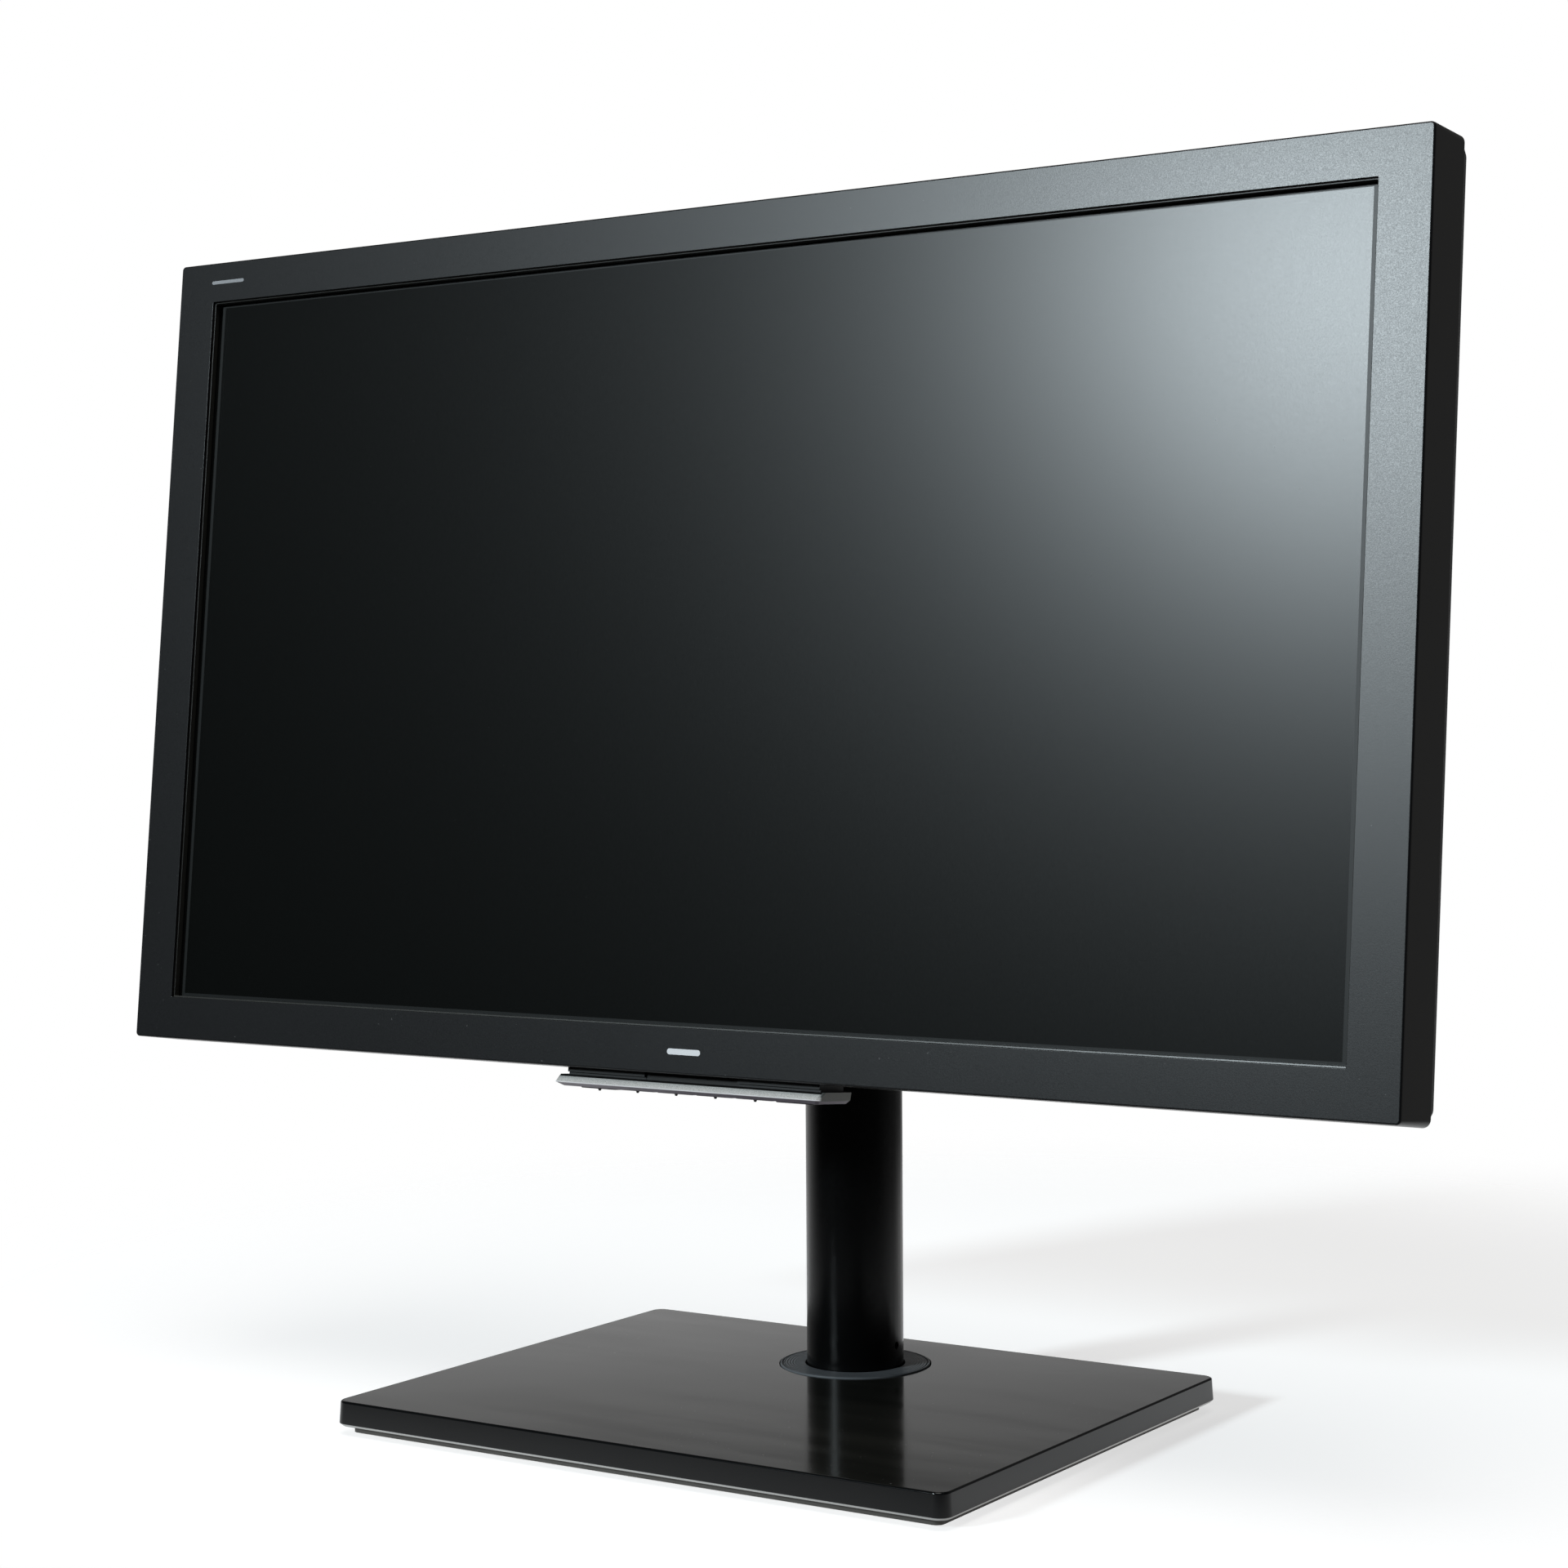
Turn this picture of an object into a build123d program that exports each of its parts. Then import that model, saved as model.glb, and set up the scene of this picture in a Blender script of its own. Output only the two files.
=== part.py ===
from build123d import *
from math import cos, radians, sin
import os

# A desktop computer monitor: a framed flat panel on a telescoping round column that swivels on a
# weighted rectangular base. Millimetres, +Z up, -Y towards the person who looks at the screen.
# The origin is the middle of the base at desk level.

# ---- driving dimensions -------------------------------------------------------------------------
TILT = 5.7                    # how far the screen leans back
HEAD_WIDTH = 562.1            # front face of the head
HEAD_HEIGHT = 328.6
RIM_DEPTH = 23.8              # front face to the seam with the rear cover
RIM_SPREAD = 1.3              # the rim grows by this on each side towards the seam
HEAD_CENTRE = (0, -50.1, 306.3)
OPENING_WIDTH = 523.5         # screen opening in the front face
OPENING_HEIGHT = 294.5
OPENING_RISE = 0.2            # the bottom border is a little deeper than the top one
PANEL_RECESS = 4.5            # front face to the glass

COVER_DEPTH = 58.0            # front face to the flat back of the rear cover
COVER_EDGE = 31.0             # depth where the rear cover starts to slope
PLATEAU_WIDTH = 400.0
PLATEAU_HEIGHT = 214.0
COVER_WALL = 2.2
PLATEAU_ROUND = 4.0

BASE_WIDTH = 271.4            # widest outline of the base cover
BASE_DEPTH = 216.0
BASE_TOP = 13.3
BASE_WAIST = 4.7              # height of the widest outline
BASE_DRAFT = 0.45             # the cover narrows by this on each side up to the top
PLINTH_INSET = 4.75

COLUMN_Y = 54.7               # column axis, behind the middle of the base
TUBE_RADIUS = 19.6            # outer tube
TUBE_BORE = 17.6
TUBE_TOP = 172.0
INNER_RADIUS = 16.0           # inner tube
INNER_BORE = 14.0
INNER_BOTTOM = 117.0
TRAVEL = 100.0                # height adjustment, downwards from the stored height
DISC_RADIUS = 30.4            # trim disc round the foot of the column
DISC_TOP = 13.8

HINGE = (0, 34.0, 300.0)      # tilt axis, along X
HINGE_PIN_RADIUS = 4.0
RUNNING = 0.05                # radial clearance of a running fit

BUTTON_COUNT = 6
BUTTON_PITCH = 17.8
BUTTON_TRAVEL = 0.8

os.makedirs("parts", exist_ok=True)

# ---- planes of the tilted head ------------------------------------------------------------------
UP = (0, sin(radians(TILT)), cos(radians(TILT)))
BACK = (0, cos(radians(TILT)), -sin(radians(TILT)))
FORWARD = (0, -cos(radians(TILT)), sin(radians(TILT)))
FRONT = Plane(origin=HEAD_CENTRE, x_dir=(1, 0, 0), z_dir=FORWARD)
LEVEL = Plane(origin=HEAD_CENTRE, x_dir=(1, 0, 0), z_dir=UP)
SIDE = Plane(origin=HEAD_CENTRE, x_dir=BACK, z_dir=(1, 0, 0))
COLUMN = Plane(origin=(0, COLUMN_Y, 0))

BACKWARDS = (Align.CENTER, Align.CENTER, Align.MAX)
UPWARDS = (Align.CENTER, Align.CENTER, Align.MIN)
DOWNWARDS = (Align.CENTER, Align.CENTER, Align.MAX)


def behind(depth):
    """Plane parallel to the screen: x to the right, y up the head, z towards the viewer."""
    return FRONT.offset(-depth)


def level(height):
    """Plane square to the screen: x to the right, y to the back, z up the head."""
    return LEVEL.offset(height)


hinge_local = FRONT.to_local_coords(Vector(*HINGE))
HINGE_DEPTH = -hinge_local.Z
HINGE_RISE = hinge_local.Y


# ==== base =======================================================================================
COVER_TOP_SKIN = 2.4
COVER_BOTTOM = 3.5
COVER_CHAMFER = 1.2
BASE_CORNER = 5.0
BASE_CAVITY = (262.4, 207.0)
SCREW_GRID = (232.0, 178.0)
FOOT_GRID = (226.0, 150.0)
BOSS_RADIUS = 4.0

with BuildPart() as base_cover:
    with BuildSketch(Plane.XY.offset(BASE_WAIST)):
        RectangleRounded(BASE_WIDTH, BASE_DEPTH, BASE_CORNER)
    with BuildSketch(Plane.XY.offset(BASE_TOP)):
        RectangleRounded(BASE_WIDTH - 2 * BASE_DRAFT, BASE_DEPTH - 2 * BASE_DRAFT, BASE_CORNER - BASE_DRAFT)
    loft(ruled=True)
    fillet(base_cover.faces().sort_by(Axis.Z)[-1].edges(), 0.8)
    with BuildSketch(Plane.XY.offset(COVER_BOTTOM)):
        RectangleRounded(BASE_WIDTH - 2 * COVER_CHAMFER, BASE_DEPTH - 2 * COVER_CHAMFER,
                         BASE_CORNER - COVER_CHAMFER)
    with BuildSketch(Plane.XY.offset(BASE_WAIST)):
        RectangleRounded(BASE_WIDTH, BASE_DEPTH, BASE_CORNER)
    loft(ruled=True)
    with BuildSketch(Plane.XY.offset(COVER_BOTTOM)):
        RectangleRounded(*BASE_CAVITY, BASE_CORNER - 2)
    extrude(amount=BASE_TOP - COVER_TOP_SKIN - COVER_BOTTOM, mode=Mode.SUBTRACT)
    with BuildSketch(Plane.XY.offset(COVER_BOTTOM)):
        with GridLocations(*SCREW_GRID, 2, 2):
            Circle(BOSS_RADIUS)
    extrude(amount=BASE_TOP - COVER_TOP_SKIN - COVER_BOTTOM)
    with BuildSketch(Plane.XY.offset(COVER_BOTTOM)):
        with GridLocations(*SCREW_GRID, 2, 2):
            Circle(1.3)
    extrude(amount=5.6, mode=Mode.SUBTRACT)
    with BuildSketch(COLUMN.offset(COVER_BOTTOM)):
        Circle(DISC_RADIUS + 0.4)
    extrude(amount=BASE_TOP, mode=Mode.SUBTRACT)
base_cover.part.label = "base_cover"
export_step(base_cover.part, "parts/base_cover.step")

# The weight is a steel plate. The spindle turns in it, and a curved slot limits the swivel.
WEIGHT_TOP = 8.0
SPINDLE_RADIUS = 8.0
STOP_PIN_RADIUS = 2.5
STOP_PIN_ORBIT = 25.5
SWIVEL_LIMIT = 45.0
SLOT_GAP = 0.5
stop_sweep = SWIVEL_LIMIT + 1.0
stop_path = CenterArc((0, 0), STOP_PIN_ORBIT, 90 - stop_sweep, 2 * stop_sweep)

with BuildPart() as weight_plate:
    with BuildSketch(Plane.XY.offset(COVER_BOTTOM)):
        RectangleRounded(252, 198, 3)
        with GridLocations(*SCREW_GRID, 2, 2):
            Circle(BOSS_RADIUS + 0.6, mode=Mode.SUBTRACT)
    extrude(amount=WEIGHT_TOP - COVER_BOTTOM)
    with BuildSketch(COLUMN.offset(COVER_BOTTOM)):
        Circle(SPINDLE_RADIUS + RUNNING)
        SlotArc(stop_path, 2 * (STOP_PIN_RADIUS + SLOT_GAP))
    extrude(amount=WEIGHT_TOP - COVER_BOTTOM, mode=Mode.SUBTRACT)
weight_plate.part.label = "weight_plate"
export_step(weight_plate.part, "parts/weight_plate.step")

# The bottom plate is the dark plinth that shows under the cover. The feet sit in its pockets.
PLINTH_BOTTOM = 0.8
FOOT_RADIUS = 8.0

with BuildPart() as bottom_plate:
    with BuildSketch(Plane.XY.offset(PLINTH_BOTTOM)):
        RectangleRounded(BASE_WIDTH - 2 * PLINTH_INSET, BASE_DEPTH - 2 * PLINTH_INSET, 3)
        with Locations((0, COLUMN_Y)):
            Circle(18, mode=Mode.SUBTRACT)
    extrude(amount=COVER_BOTTOM - PLINTH_BOTTOM)
    with BuildSketch(Plane.XY.offset(PLINTH_BOTTOM)):
        with GridLocations(*FOOT_GRID, 2, 2):
            Circle(FOOT_RADIUS + 0.1)
    extrude(amount=0.7, mode=Mode.SUBTRACT)
    with Locations(Plane.XY.offset(PLINTH_BOTTOM)):
        with GridLocations(*SCREW_GRID, 2, 2):
            Cylinder(1.6, 4, align=UPWARDS, mode=Mode.SUBTRACT)
            Cone(3.1, 1.6, 1.5, align=UPWARDS, mode=Mode.SUBTRACT)
bottom_plate.part.label = "bottom_plate"
export_step(bottom_plate.part, "parts/bottom_plate.step")

with BuildPart() as rubber_feet:
    with BuildSketch(Plane.XY):
        with GridLocations(*FOOT_GRID, 2, 2):
            Circle(FOOT_RADIUS)
    extrude(amount=1.5)
    chamfer(rubber_feet.faces().group_by(Axis.Z)[0].edges(), 0.3)
rubber_feet.part.label = "rubber_feet"
export_step(rubber_feet.part, "parts/rubber_feet.step")

with BuildPart(Plane.XY.offset(PLINTH_BOTTOM + 0.1)) as base_screws:
    with GridLocations(*SCREW_GRID, 2, 2):
        Cone(2.95, 1.25, 1.6, align=UPWARDS)
        Cylinder(1.25, 7.8, align=UPWARDS)
        Cylinder(1.0, 0.7, align=UPWARDS, mode=Mode.SUBTRACT)
base_screws.part.label = "base_screws"
export_step(base_screws.part, "parts/base_screws.step")

FLANGE_BOTTOM = 9.0
FLANGE_TOP = 10.7

with BuildPart(COLUMN.offset(WEIGHT_TOP)) as bearing_washer:
    Cylinder(22, FLANGE_BOTTOM - WEIGHT_TOP - RUNNING, align=UPWARDS)
    Cylinder(SPINDLE_RADIUS + 0.3, 5, mode=Mode.SUBTRACT)
bearing_washer.part.label = "bearing_washer"
export_step(bearing_washer.part, "parts/bearing_washer.step")

# ==== swivel =====================================================================================
PLUG_TOP = 16.0
STUD_BOTTOM = 1.2
CLIP_BOTTOM = 2.0
CLIP_RADIUS = 14.0
GROOVE_RADIUS = 6.8
FLANGE_RADIUS = 29.0

with BuildPart(COLUMN.offset(STUD_BOTTOM)) as spindle:
    Cylinder(SPINDLE_RADIUS, FLANGE_BOTTOM - STUD_BOTTOM, align=UPWARDS)
    with Locations((0, 0, FLANGE_BOTTOM - STUD_BOTTOM)):
        Cylinder(FLANGE_RADIUS, FLANGE_TOP - FLANGE_BOTTOM, align=UPWARDS)
        Cylinder(TUBE_BORE, PLUG_TOP - FLANGE_BOTTOM, align=UPWARDS)
    with BuildSketch(COLUMN.offset(CLIP_BOTTOM)):
        Circle(SPINDLE_RADIUS + 1)
        Circle(GROOVE_RADIUS, mode=Mode.SUBTRACT)
    extrude(amount=COVER_BOTTOM - CLIP_BOTTOM - RUNNING, mode=Mode.SUBTRACT)
spindle.part.label = "spindle"
export_step(spindle.part, "parts/spindle.step")

with BuildPart(COLUMN.offset(CLIP_BOTTOM)) as retaining_clip:
    Cylinder(CLIP_RADIUS, COVER_BOTTOM - CLIP_BOTTOM - RUNNING, align=UPWARDS)
    Cylinder(GROOVE_RADIUS, 5, mode=Mode.SUBTRACT)
    with Locations((0, -CLIP_RADIUS, 0)):
        Box(10, CLIP_RADIUS, 5, mode=Mode.SUBTRACT)
retaining_clip.part.label = "retaining_clip"
export_step(retaining_clip.part, "parts/retaining_clip.step")

with BuildPart(COLUMN.offset(COVER_BOTTOM + 1)) as stop_pin:
    with Locations((0, STOP_PIN_ORBIT, 0)):
        Cylinder(STOP_PIN_RADIUS, FLANGE_BOTTOM - COVER_BOTTOM - 1, align=UPWARDS)
stop_pin.part.label = "stop_pin"
export_step(stop_pin.part, "parts/stop_pin.step")

with BuildPart(COLUMN.offset(FLANGE_TOP + 0.1)) as swivel_disc:
    Cylinder(DISC_RADIUS, DISC_TOP - FLANGE_TOP - 0.1, align=UPWARDS)
    chamfer(swivel_disc.faces().sort_by(Axis.Z)[-1].edges(), 0.4)
    Cylinder(TUBE_RADIUS + 0.6, 20, mode=Mode.SUBTRACT)
    with BuildSketch(COLUMN.offset(DISC_TOP)):
        Circle(DISC_RADIUS - 0.9)
        Circle(DISC_RADIUS - 1.2, mode=Mode.SUBTRACT)
    extrude(amount=-0.3, mode=Mode.SUBTRACT)
swivel_disc.part.label = "swivel_disc"
export_step(swivel_disc.part, "parts/swivel_disc.step")

# The stop pin's hole for shipping goes across the foot of the tube.
LOCK_HOLE_RADIUS = 1.5
LOCK_HOLE_HEIGHT = 22.5

with BuildPart(COLUMN.offset(FLANGE_TOP)) as outer_tube:
    Cylinder(TUBE_RADIUS, TUBE_TOP - FLANGE_TOP, align=UPWARDS)
    Cylinder(TUBE_BORE, TUBE_TOP - FLANGE_TOP, align=UPWARDS, mode=Mode.SUBTRACT)
    with Locations((0, 0, LOCK_HOLE_HEIGHT - FLANGE_TOP)):
        Cylinder(LOCK_HOLE_RADIUS, 3 * TUBE_RADIUS, rotation=(0, 90, 0), mode=Mode.SUBTRACT)
outer_tube.part.label = "outer_tube"
export_step(outer_tube.part, "parts/outer_tube.step")

SLIDER_TOP = 145.0

with BuildPart(COLUMN.offset(SLIDER_TOP + 0.3)) as guide_bush:
    Cylinder(TUBE_BORE, TUBE_TOP - SLIDER_TOP - 0.3, align=UPWARDS)
    with Locations((0, 0, TUBE_TOP - SLIDER_TOP - 0.3)):
        Cylinder(TUBE_RADIUS, 3, align=UPWARDS)
    chamfer(guide_bush.faces().sort_by(Axis.Z)[-1].edges(), 0.8)
    Cylinder(INNER_RADIUS + RUNNING, 80, mode=Mode.SUBTRACT)
guide_bush.part.label = "guide_bush"
export_step(guide_bush.part, "parts/guide_bush.step")

# A gas spring inside the column carries the weight of the head.
ROD_RADIUS = 4.0
CYLINDER_RADIUS = 10.0
CYLINDER_BORE = 8.0
CYLINDER_TOP = 125.0

with BuildPart(COLUMN.offset(PLUG_TOP)) as spring_cylinder:
    Cylinder(CYLINDER_RADIUS, CYLINDER_TOP - PLUG_TOP, align=UPWARDS)
    Cylinder(ROD_RADIUS + RUNNING, CYLINDER_TOP - PLUG_TOP + 1, align=UPWARDS, mode=Mode.SUBTRACT)
    Cylinder(CYLINDER_RADIUS, 2, align=UPWARDS)
    with Locations((0, 0, 2)):
        Cylinder(CYLINDER_BORE, CYLINDER_TOP - PLUG_TOP - 6, align=UPWARDS, mode=Mode.SUBTRACT)
spring_cylinder.part.label = "spring_cylinder"
export_step(spring_cylinder.part, "parts/spring_cylinder.step")

# ==== lift =======================================================================================
BLOCK_BOTTOM = 278.0
BLOCK_TOP = 322.0
SOCKET_TOP = 300.0
BLOCK_HALF = 20.0

with BuildPart(COLUMN.offset(INNER_BOTTOM)) as inner_tube:
    Cylinder(INNER_RADIUS, SOCKET_TOP - INNER_BOTTOM, align=UPWARDS)
    Cylinder(INNER_BORE, SOCKET_TOP - INNER_BOTTOM, align=UPWARDS, mode=Mode.SUBTRACT)
    with Locations((0, 0, LOCK_HOLE_HEIGHT + TRAVEL - INNER_BOTTOM)):
        Cylinder(LOCK_HOLE_RADIUS, 3 * TUBE_RADIUS, rotation=(0, 90, 0), mode=Mode.SUBTRACT)
inner_tube.part.label = "inner_tube"
export_step(inner_tube.part, "parts/inner_tube.step")

with BuildPart(COLUMN.offset(INNER_BOTTOM)) as slider_bush:
    Cylinder(TUBE_BORE - RUNNING, SLIDER_TOP - INNER_BOTTOM, align=UPWARDS)
    Cylinder(INNER_RADIUS, SLIDER_TOP - INNER_BOTTOM, align=UPWARDS, mode=Mode.SUBTRACT)
    with Locations((0, 0, LOCK_HOLE_HEIGHT + TRAVEL - INNER_BOTTOM)):
        Cylinder(LOCK_HOLE_RADIUS, 3 * TUBE_RADIUS, rotation=(0, 90, 0), mode=Mode.SUBTRACT)
slider_bush.part.label = "slider_bush"
export_step(slider_bush.part, "parts/slider_bush.step")

PISTON_BOTTOM = 119.0
ROD_TOP = 308.0

with BuildPart(COLUMN.offset(PISTON_BOTTOM)) as spring_rod:
    Cylinder(ROD_RADIUS, ROD_TOP - PISTON_BOTTOM, align=UPWARDS)
    Cylinder(CYLINDER_BORE - RUNNING, 1.7, align=UPWARDS)
spring_rod.part.label = "spring_rod"
export_step(spring_rod.part, "parts/spring_rod.step")

# The block is a casting: a socket for the inner tube and a tongue for the tilt pin.
with BuildPart() as hinge_block:
    with BuildSketch(Plane.XY.offset(BLOCK_BOTTOM)):
        with Locations((0, COLUMN_Y + 1.5)):
            RectangleRounded(2 * BLOCK_HALF, 43, 9)
    extrude(amount=BLOCK_TOP - BLOCK_BOTTOM)
    with BuildSketch(Plane.YZ.offset(-BLOCK_HALF)):
        with Locations((HINGE[1], HINGE[2])):
            Circle(9.5)
            Rectangle(14, 19, align=(Align.MIN, Align.CENTER))
    extrude(amount=2 * BLOCK_HALF)
    with Locations((0, COLUMN_Y, BLOCK_BOTTOM)):
        Cylinder(INNER_RADIUS, SOCKET_TOP - BLOCK_BOTTOM, align=UPWARDS, mode=Mode.SUBTRACT)
        Cylinder(ROD_RADIUS, ROD_TOP - BLOCK_BOTTOM, align=UPWARDS, mode=Mode.SUBTRACT)
    with Locations(HINGE):
        Cylinder(HINGE_PIN_RADIUS + RUNNING, 60, rotation=(0, 90, 0), mode=Mode.SUBTRACT)
hinge_block.part.label = "hinge_block"
export_step(hinge_block.part, "parts/hinge_block.step")

with BuildPart() as hinge_cap:
    with BuildSketch(Plane.XY.offset(BLOCK_TOP)):
        with Locations((0, COLUMN_Y + 1.5)):
            RectangleRounded(2 * BLOCK_HALF, 43, 9)
    extrude(amount=4)
    fillet(hinge_cap.faces().sort_by(Axis.Z)[-1].edges(), 2.5)
hinge_cap.part.label = "hinge_cap"
export_step(hinge_cap.part, "parts/hinge_cap.step")

with BuildPart() as clamp_screws:
    for height in (BLOCK_BOTTOM + 6, BLOCK_BOTTOM + 16):
        with Locations((0, COLUMN_Y + 23, height)):
            Cylinder(2.9, 1.6, rotation=(90, 0, 0), align=(Align.CENTER, Align.CENTER, Align.MAX))
            Cylinder(1.4, 3, rotation=(90, 0, 0), mode=Mode.SUBTRACT)
clamp_screws.part.label = "clamp_screws"
export_step(clamp_screws.part, "parts/clamp_screws.step")

# ==== head: front bezel ==========================================================================
BEZEL_WALL = 3.6
STEP_DEPTH = 1.2
STEP_WIDTH = 0.6
RIM_CAVITY = (557.7, 324.2)
FRONT_CORNER = 1.7

with BuildPart() as front_bezel:
    with BuildSketch(FRONT):
        RectangleRounded(HEAD_WIDTH, HEAD_HEIGHT, FRONT_CORNER)
    with BuildSketch(behind(RIM_DEPTH)):
        RectangleRounded(HEAD_WIDTH + 2 * RIM_SPREAD, HEAD_HEIGHT + 2 * RIM_SPREAD,
                         FRONT_CORNER + RIM_SPREAD)
    loft(ruled=True)
    fillet(front_bezel.faces().sort_by(Axis(HEAD_CENTRE, FORWARD))[-1].edges(), 0.7)
    with BuildSketch(behind(BEZEL_WALL)):
        RectangleRounded(*RIM_CAVITY, 1)
    extrude(amount=-RIM_DEPTH, mode=Mode.SUBTRACT)
    with BuildSketch(FRONT):
        with Locations((0, OPENING_RISE)):
            Rectangle(OPENING_WIDTH, OPENING_HEIGHT)
    extrude(amount=-STEP_DEPTH, mode=Mode.SUBTRACT)
    with BuildSketch(FRONT):
        with Locations((0, OPENING_RISE)):
            Rectangle(OPENING_WIDTH - 2 * STEP_WIDTH, OPENING_HEIGHT - 2 * STEP_WIDTH)
    extrude(amount=-BEZEL_WALL, mode=Mode.SUBTRACT)
front_bezel.part.label = "front_bezel"
export_step(front_bezel.part, "parts/front_bezel.step")

# ==== head: panel module, front to back ==========================================================
# Each layer has its width, height and thickness, and the depth where it starts.
FRAME_SIZE = (545.2, 320.2, 9.8)
FRAME_WALL = 0.7
FRAME_WINDOW = (526, 297)
CELL_SIZE = (530, 302, 1.5)
FILMS_SIZE, FILMS_DEPTH = (528, 300, 1.1), 6.1
GUIDE_SIZE, GUIDE_DEPTH = (526, 291, 3.4), 7.4
GUIDE_RISE = 4.0
REFLECTOR_SIZE, REFLECTOR_DEPTH = (528, 302, 0.4), 10.95
TRAY_SIZE, TRAY_DEPTH = (543.4, 318.4, 6.2), 6.1
TRAY_WALL = 0.8
TRAY_BACK = TRAY_DEPTH + TRAY_SIZE[2]

with BuildPart(behind(BEZEL_WALL + 0.1)) as panel_frame:
    Box(*FRAME_SIZE, align=BACKWARDS)
    with Locations((0, 0, -FRAME_WALL)):
        Box(FRAME_SIZE[0] - 2 * FRAME_WALL, FRAME_SIZE[1] - 2 * FRAME_WALL, FRAME_SIZE[2] + 2,
            align=BACKWARDS, mode=Mode.SUBTRACT)
    with Locations((0, OPENING_RISE, 0)):
        Box(*FRAME_WINDOW, 3, mode=Mode.SUBTRACT)
panel_frame.part.label = "panel_frame"
export_step(panel_frame.part, "parts/panel_frame.step")

with BuildPart(behind(PANEL_RECESS)) as lcd_cell:
    with Locations((0, OPENING_RISE, 0)):
        Box(*CELL_SIZE, align=BACKWARDS)
lcd_cell.part.label = "lcd_cell"
export_step(lcd_cell.part, "parts/lcd_cell.step")

with BuildPart(behind(FILMS_DEPTH)) as diffuser_films:
    with Locations((0, OPENING_RISE, 0)):
        Box(*FILMS_SIZE, align=BACKWARDS)
diffuser_films.part.label = "diffuser_films"
export_step(diffuser_films.part, "parts/diffuser_films.step")

with BuildPart(behind(GUIDE_DEPTH)) as light_guide:
    with Locations((0, GUIDE_RISE, 0)):
        Box(*GUIDE_SIZE, align=BACKWARDS)
light_guide.part.label = "light_guide"
export_step(light_guide.part, "parts/light_guide.step")

# The lamps are a row of light-emitting diodes on a strip along the bottom edge of the guide.
LAMP_COUNT = 48
LAMP_PITCH = 10.8
LAMP_SIZE = (5.6, 2.6, 1.1)
STRIP_SIZE = (522, 3.2, 1.0)
STRIP_TOP = GUIDE_RISE - GUIDE_SIZE[1] / 2 - 1.4

with BuildPart(level(STRIP_TOP)) as lamp_strip:
    with Locations((0, GUIDE_DEPTH + GUIDE_SIZE[2] / 2, 0)):
        Box(*STRIP_SIZE, align=DOWNWARDS)
        with GridLocations(LAMP_PITCH, 0, LAMP_COUNT, 1):
            Box(*LAMP_SIZE, align=UPWARDS)
lamp_strip.part.label = "lamp_strip"
export_step(lamp_strip.part, "parts/lamp_strip.step")

with BuildPart(behind(REFLECTOR_DEPTH)) as reflector_sheet:
    with Locations((0, OPENING_RISE, 0)):
        Box(*REFLECTOR_SIZE, align=BACKWARDS)
reflector_sheet.part.label = "reflector_sheet"
export_step(reflector_sheet.part, "parts/reflector_sheet.step")

with BuildPart(behind(TRAY_DEPTH)) as panel_tray:
    Box(*TRAY_SIZE, align=BACKWARDS)
    Box(TRAY_SIZE[0] - 2 * TRAY_WALL, TRAY_SIZE[1] - 2 * TRAY_WALL, TRAY_SIZE[2] - TRAY_WALL,
        align=BACKWARDS, mode=Mode.SUBTRACT)
panel_tray.part.label = "panel_tray"
export_step(panel_tray.part, "parts/panel_tray.step")

with BuildPart(behind(TRAY_BACK + 0.5)) as panel_board:
    with Locations((0, 140, 0)):
        Box(330, 22, 1.2, align=BACKWARDS)
    with Locations((0, 140, -1.2)):
        with GridLocations(60, 0, 5, 1):
            Box(14, 10, 1.4, align=BACKWARDS)
panel_board.part.label = "panel_board"
export_step(panel_board.part, "parts/panel_board.step")

# ==== head: chassis and electronics ==============================================================
CHASSIS_FRONT = 14.5
CHASSIS_THICKNESS = 1.2
CHASSIS_BACK = CHASSIS_FRONT + CHASSIS_THICKNESS
BOARD_FRONT = 20.0
BOARD_THICKNESS = 1.6
BOARD_BACK = BOARD_FRONT + BOARD_THICKNESS
MAIN_BOARD = (158, 150)
MAIN_CENTRE = (-76, 14)
POWER_BOARD = (130, 150)
POWER_CENTRE = (82, 14)
SHIELD_BACK = 43.0
SHIELD_CENTRE = (0, 14)
SHIELD_SIZE = (324, 168)

with BuildPart(behind(CHASSIS_FRONT)) as chassis_plate:
    with BuildSketch(behind(CHASSIS_FRONT)):
        RectangleRounded(420, 250, 6)
        with Locations((0, 108)):
            with GridLocations(24, 0, 15, 1):
                SlotOverall(16, 5, mode=Mode.SUBTRACT)
    extrude(amount=-CHASSIS_THICKNESS)
chassis_plate.part.label = "chassis_plate"
export_step(chassis_plate.part, "parts/chassis_plate.step")

BOARD_POSTS = [(x + sx * (w / 2 - 5), y + sy * (h / 2 - 5))
               for (x, y), (w, h) in ((MAIN_CENTRE, MAIN_BOARD), (POWER_CENTRE, POWER_BOARD))
               for sx in (-1, 1) for sy in (-1, 1)]

with BuildPart(behind(CHASSIS_BACK)) as board_posts:
    with Locations(*BOARD_POSTS):
        Cylinder(3, BOARD_FRONT - CHASSIS_BACK, align=BACKWARDS)
board_posts.part.label = "board_posts"
export_step(board_posts.part, "parts/board_posts.step")

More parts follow.
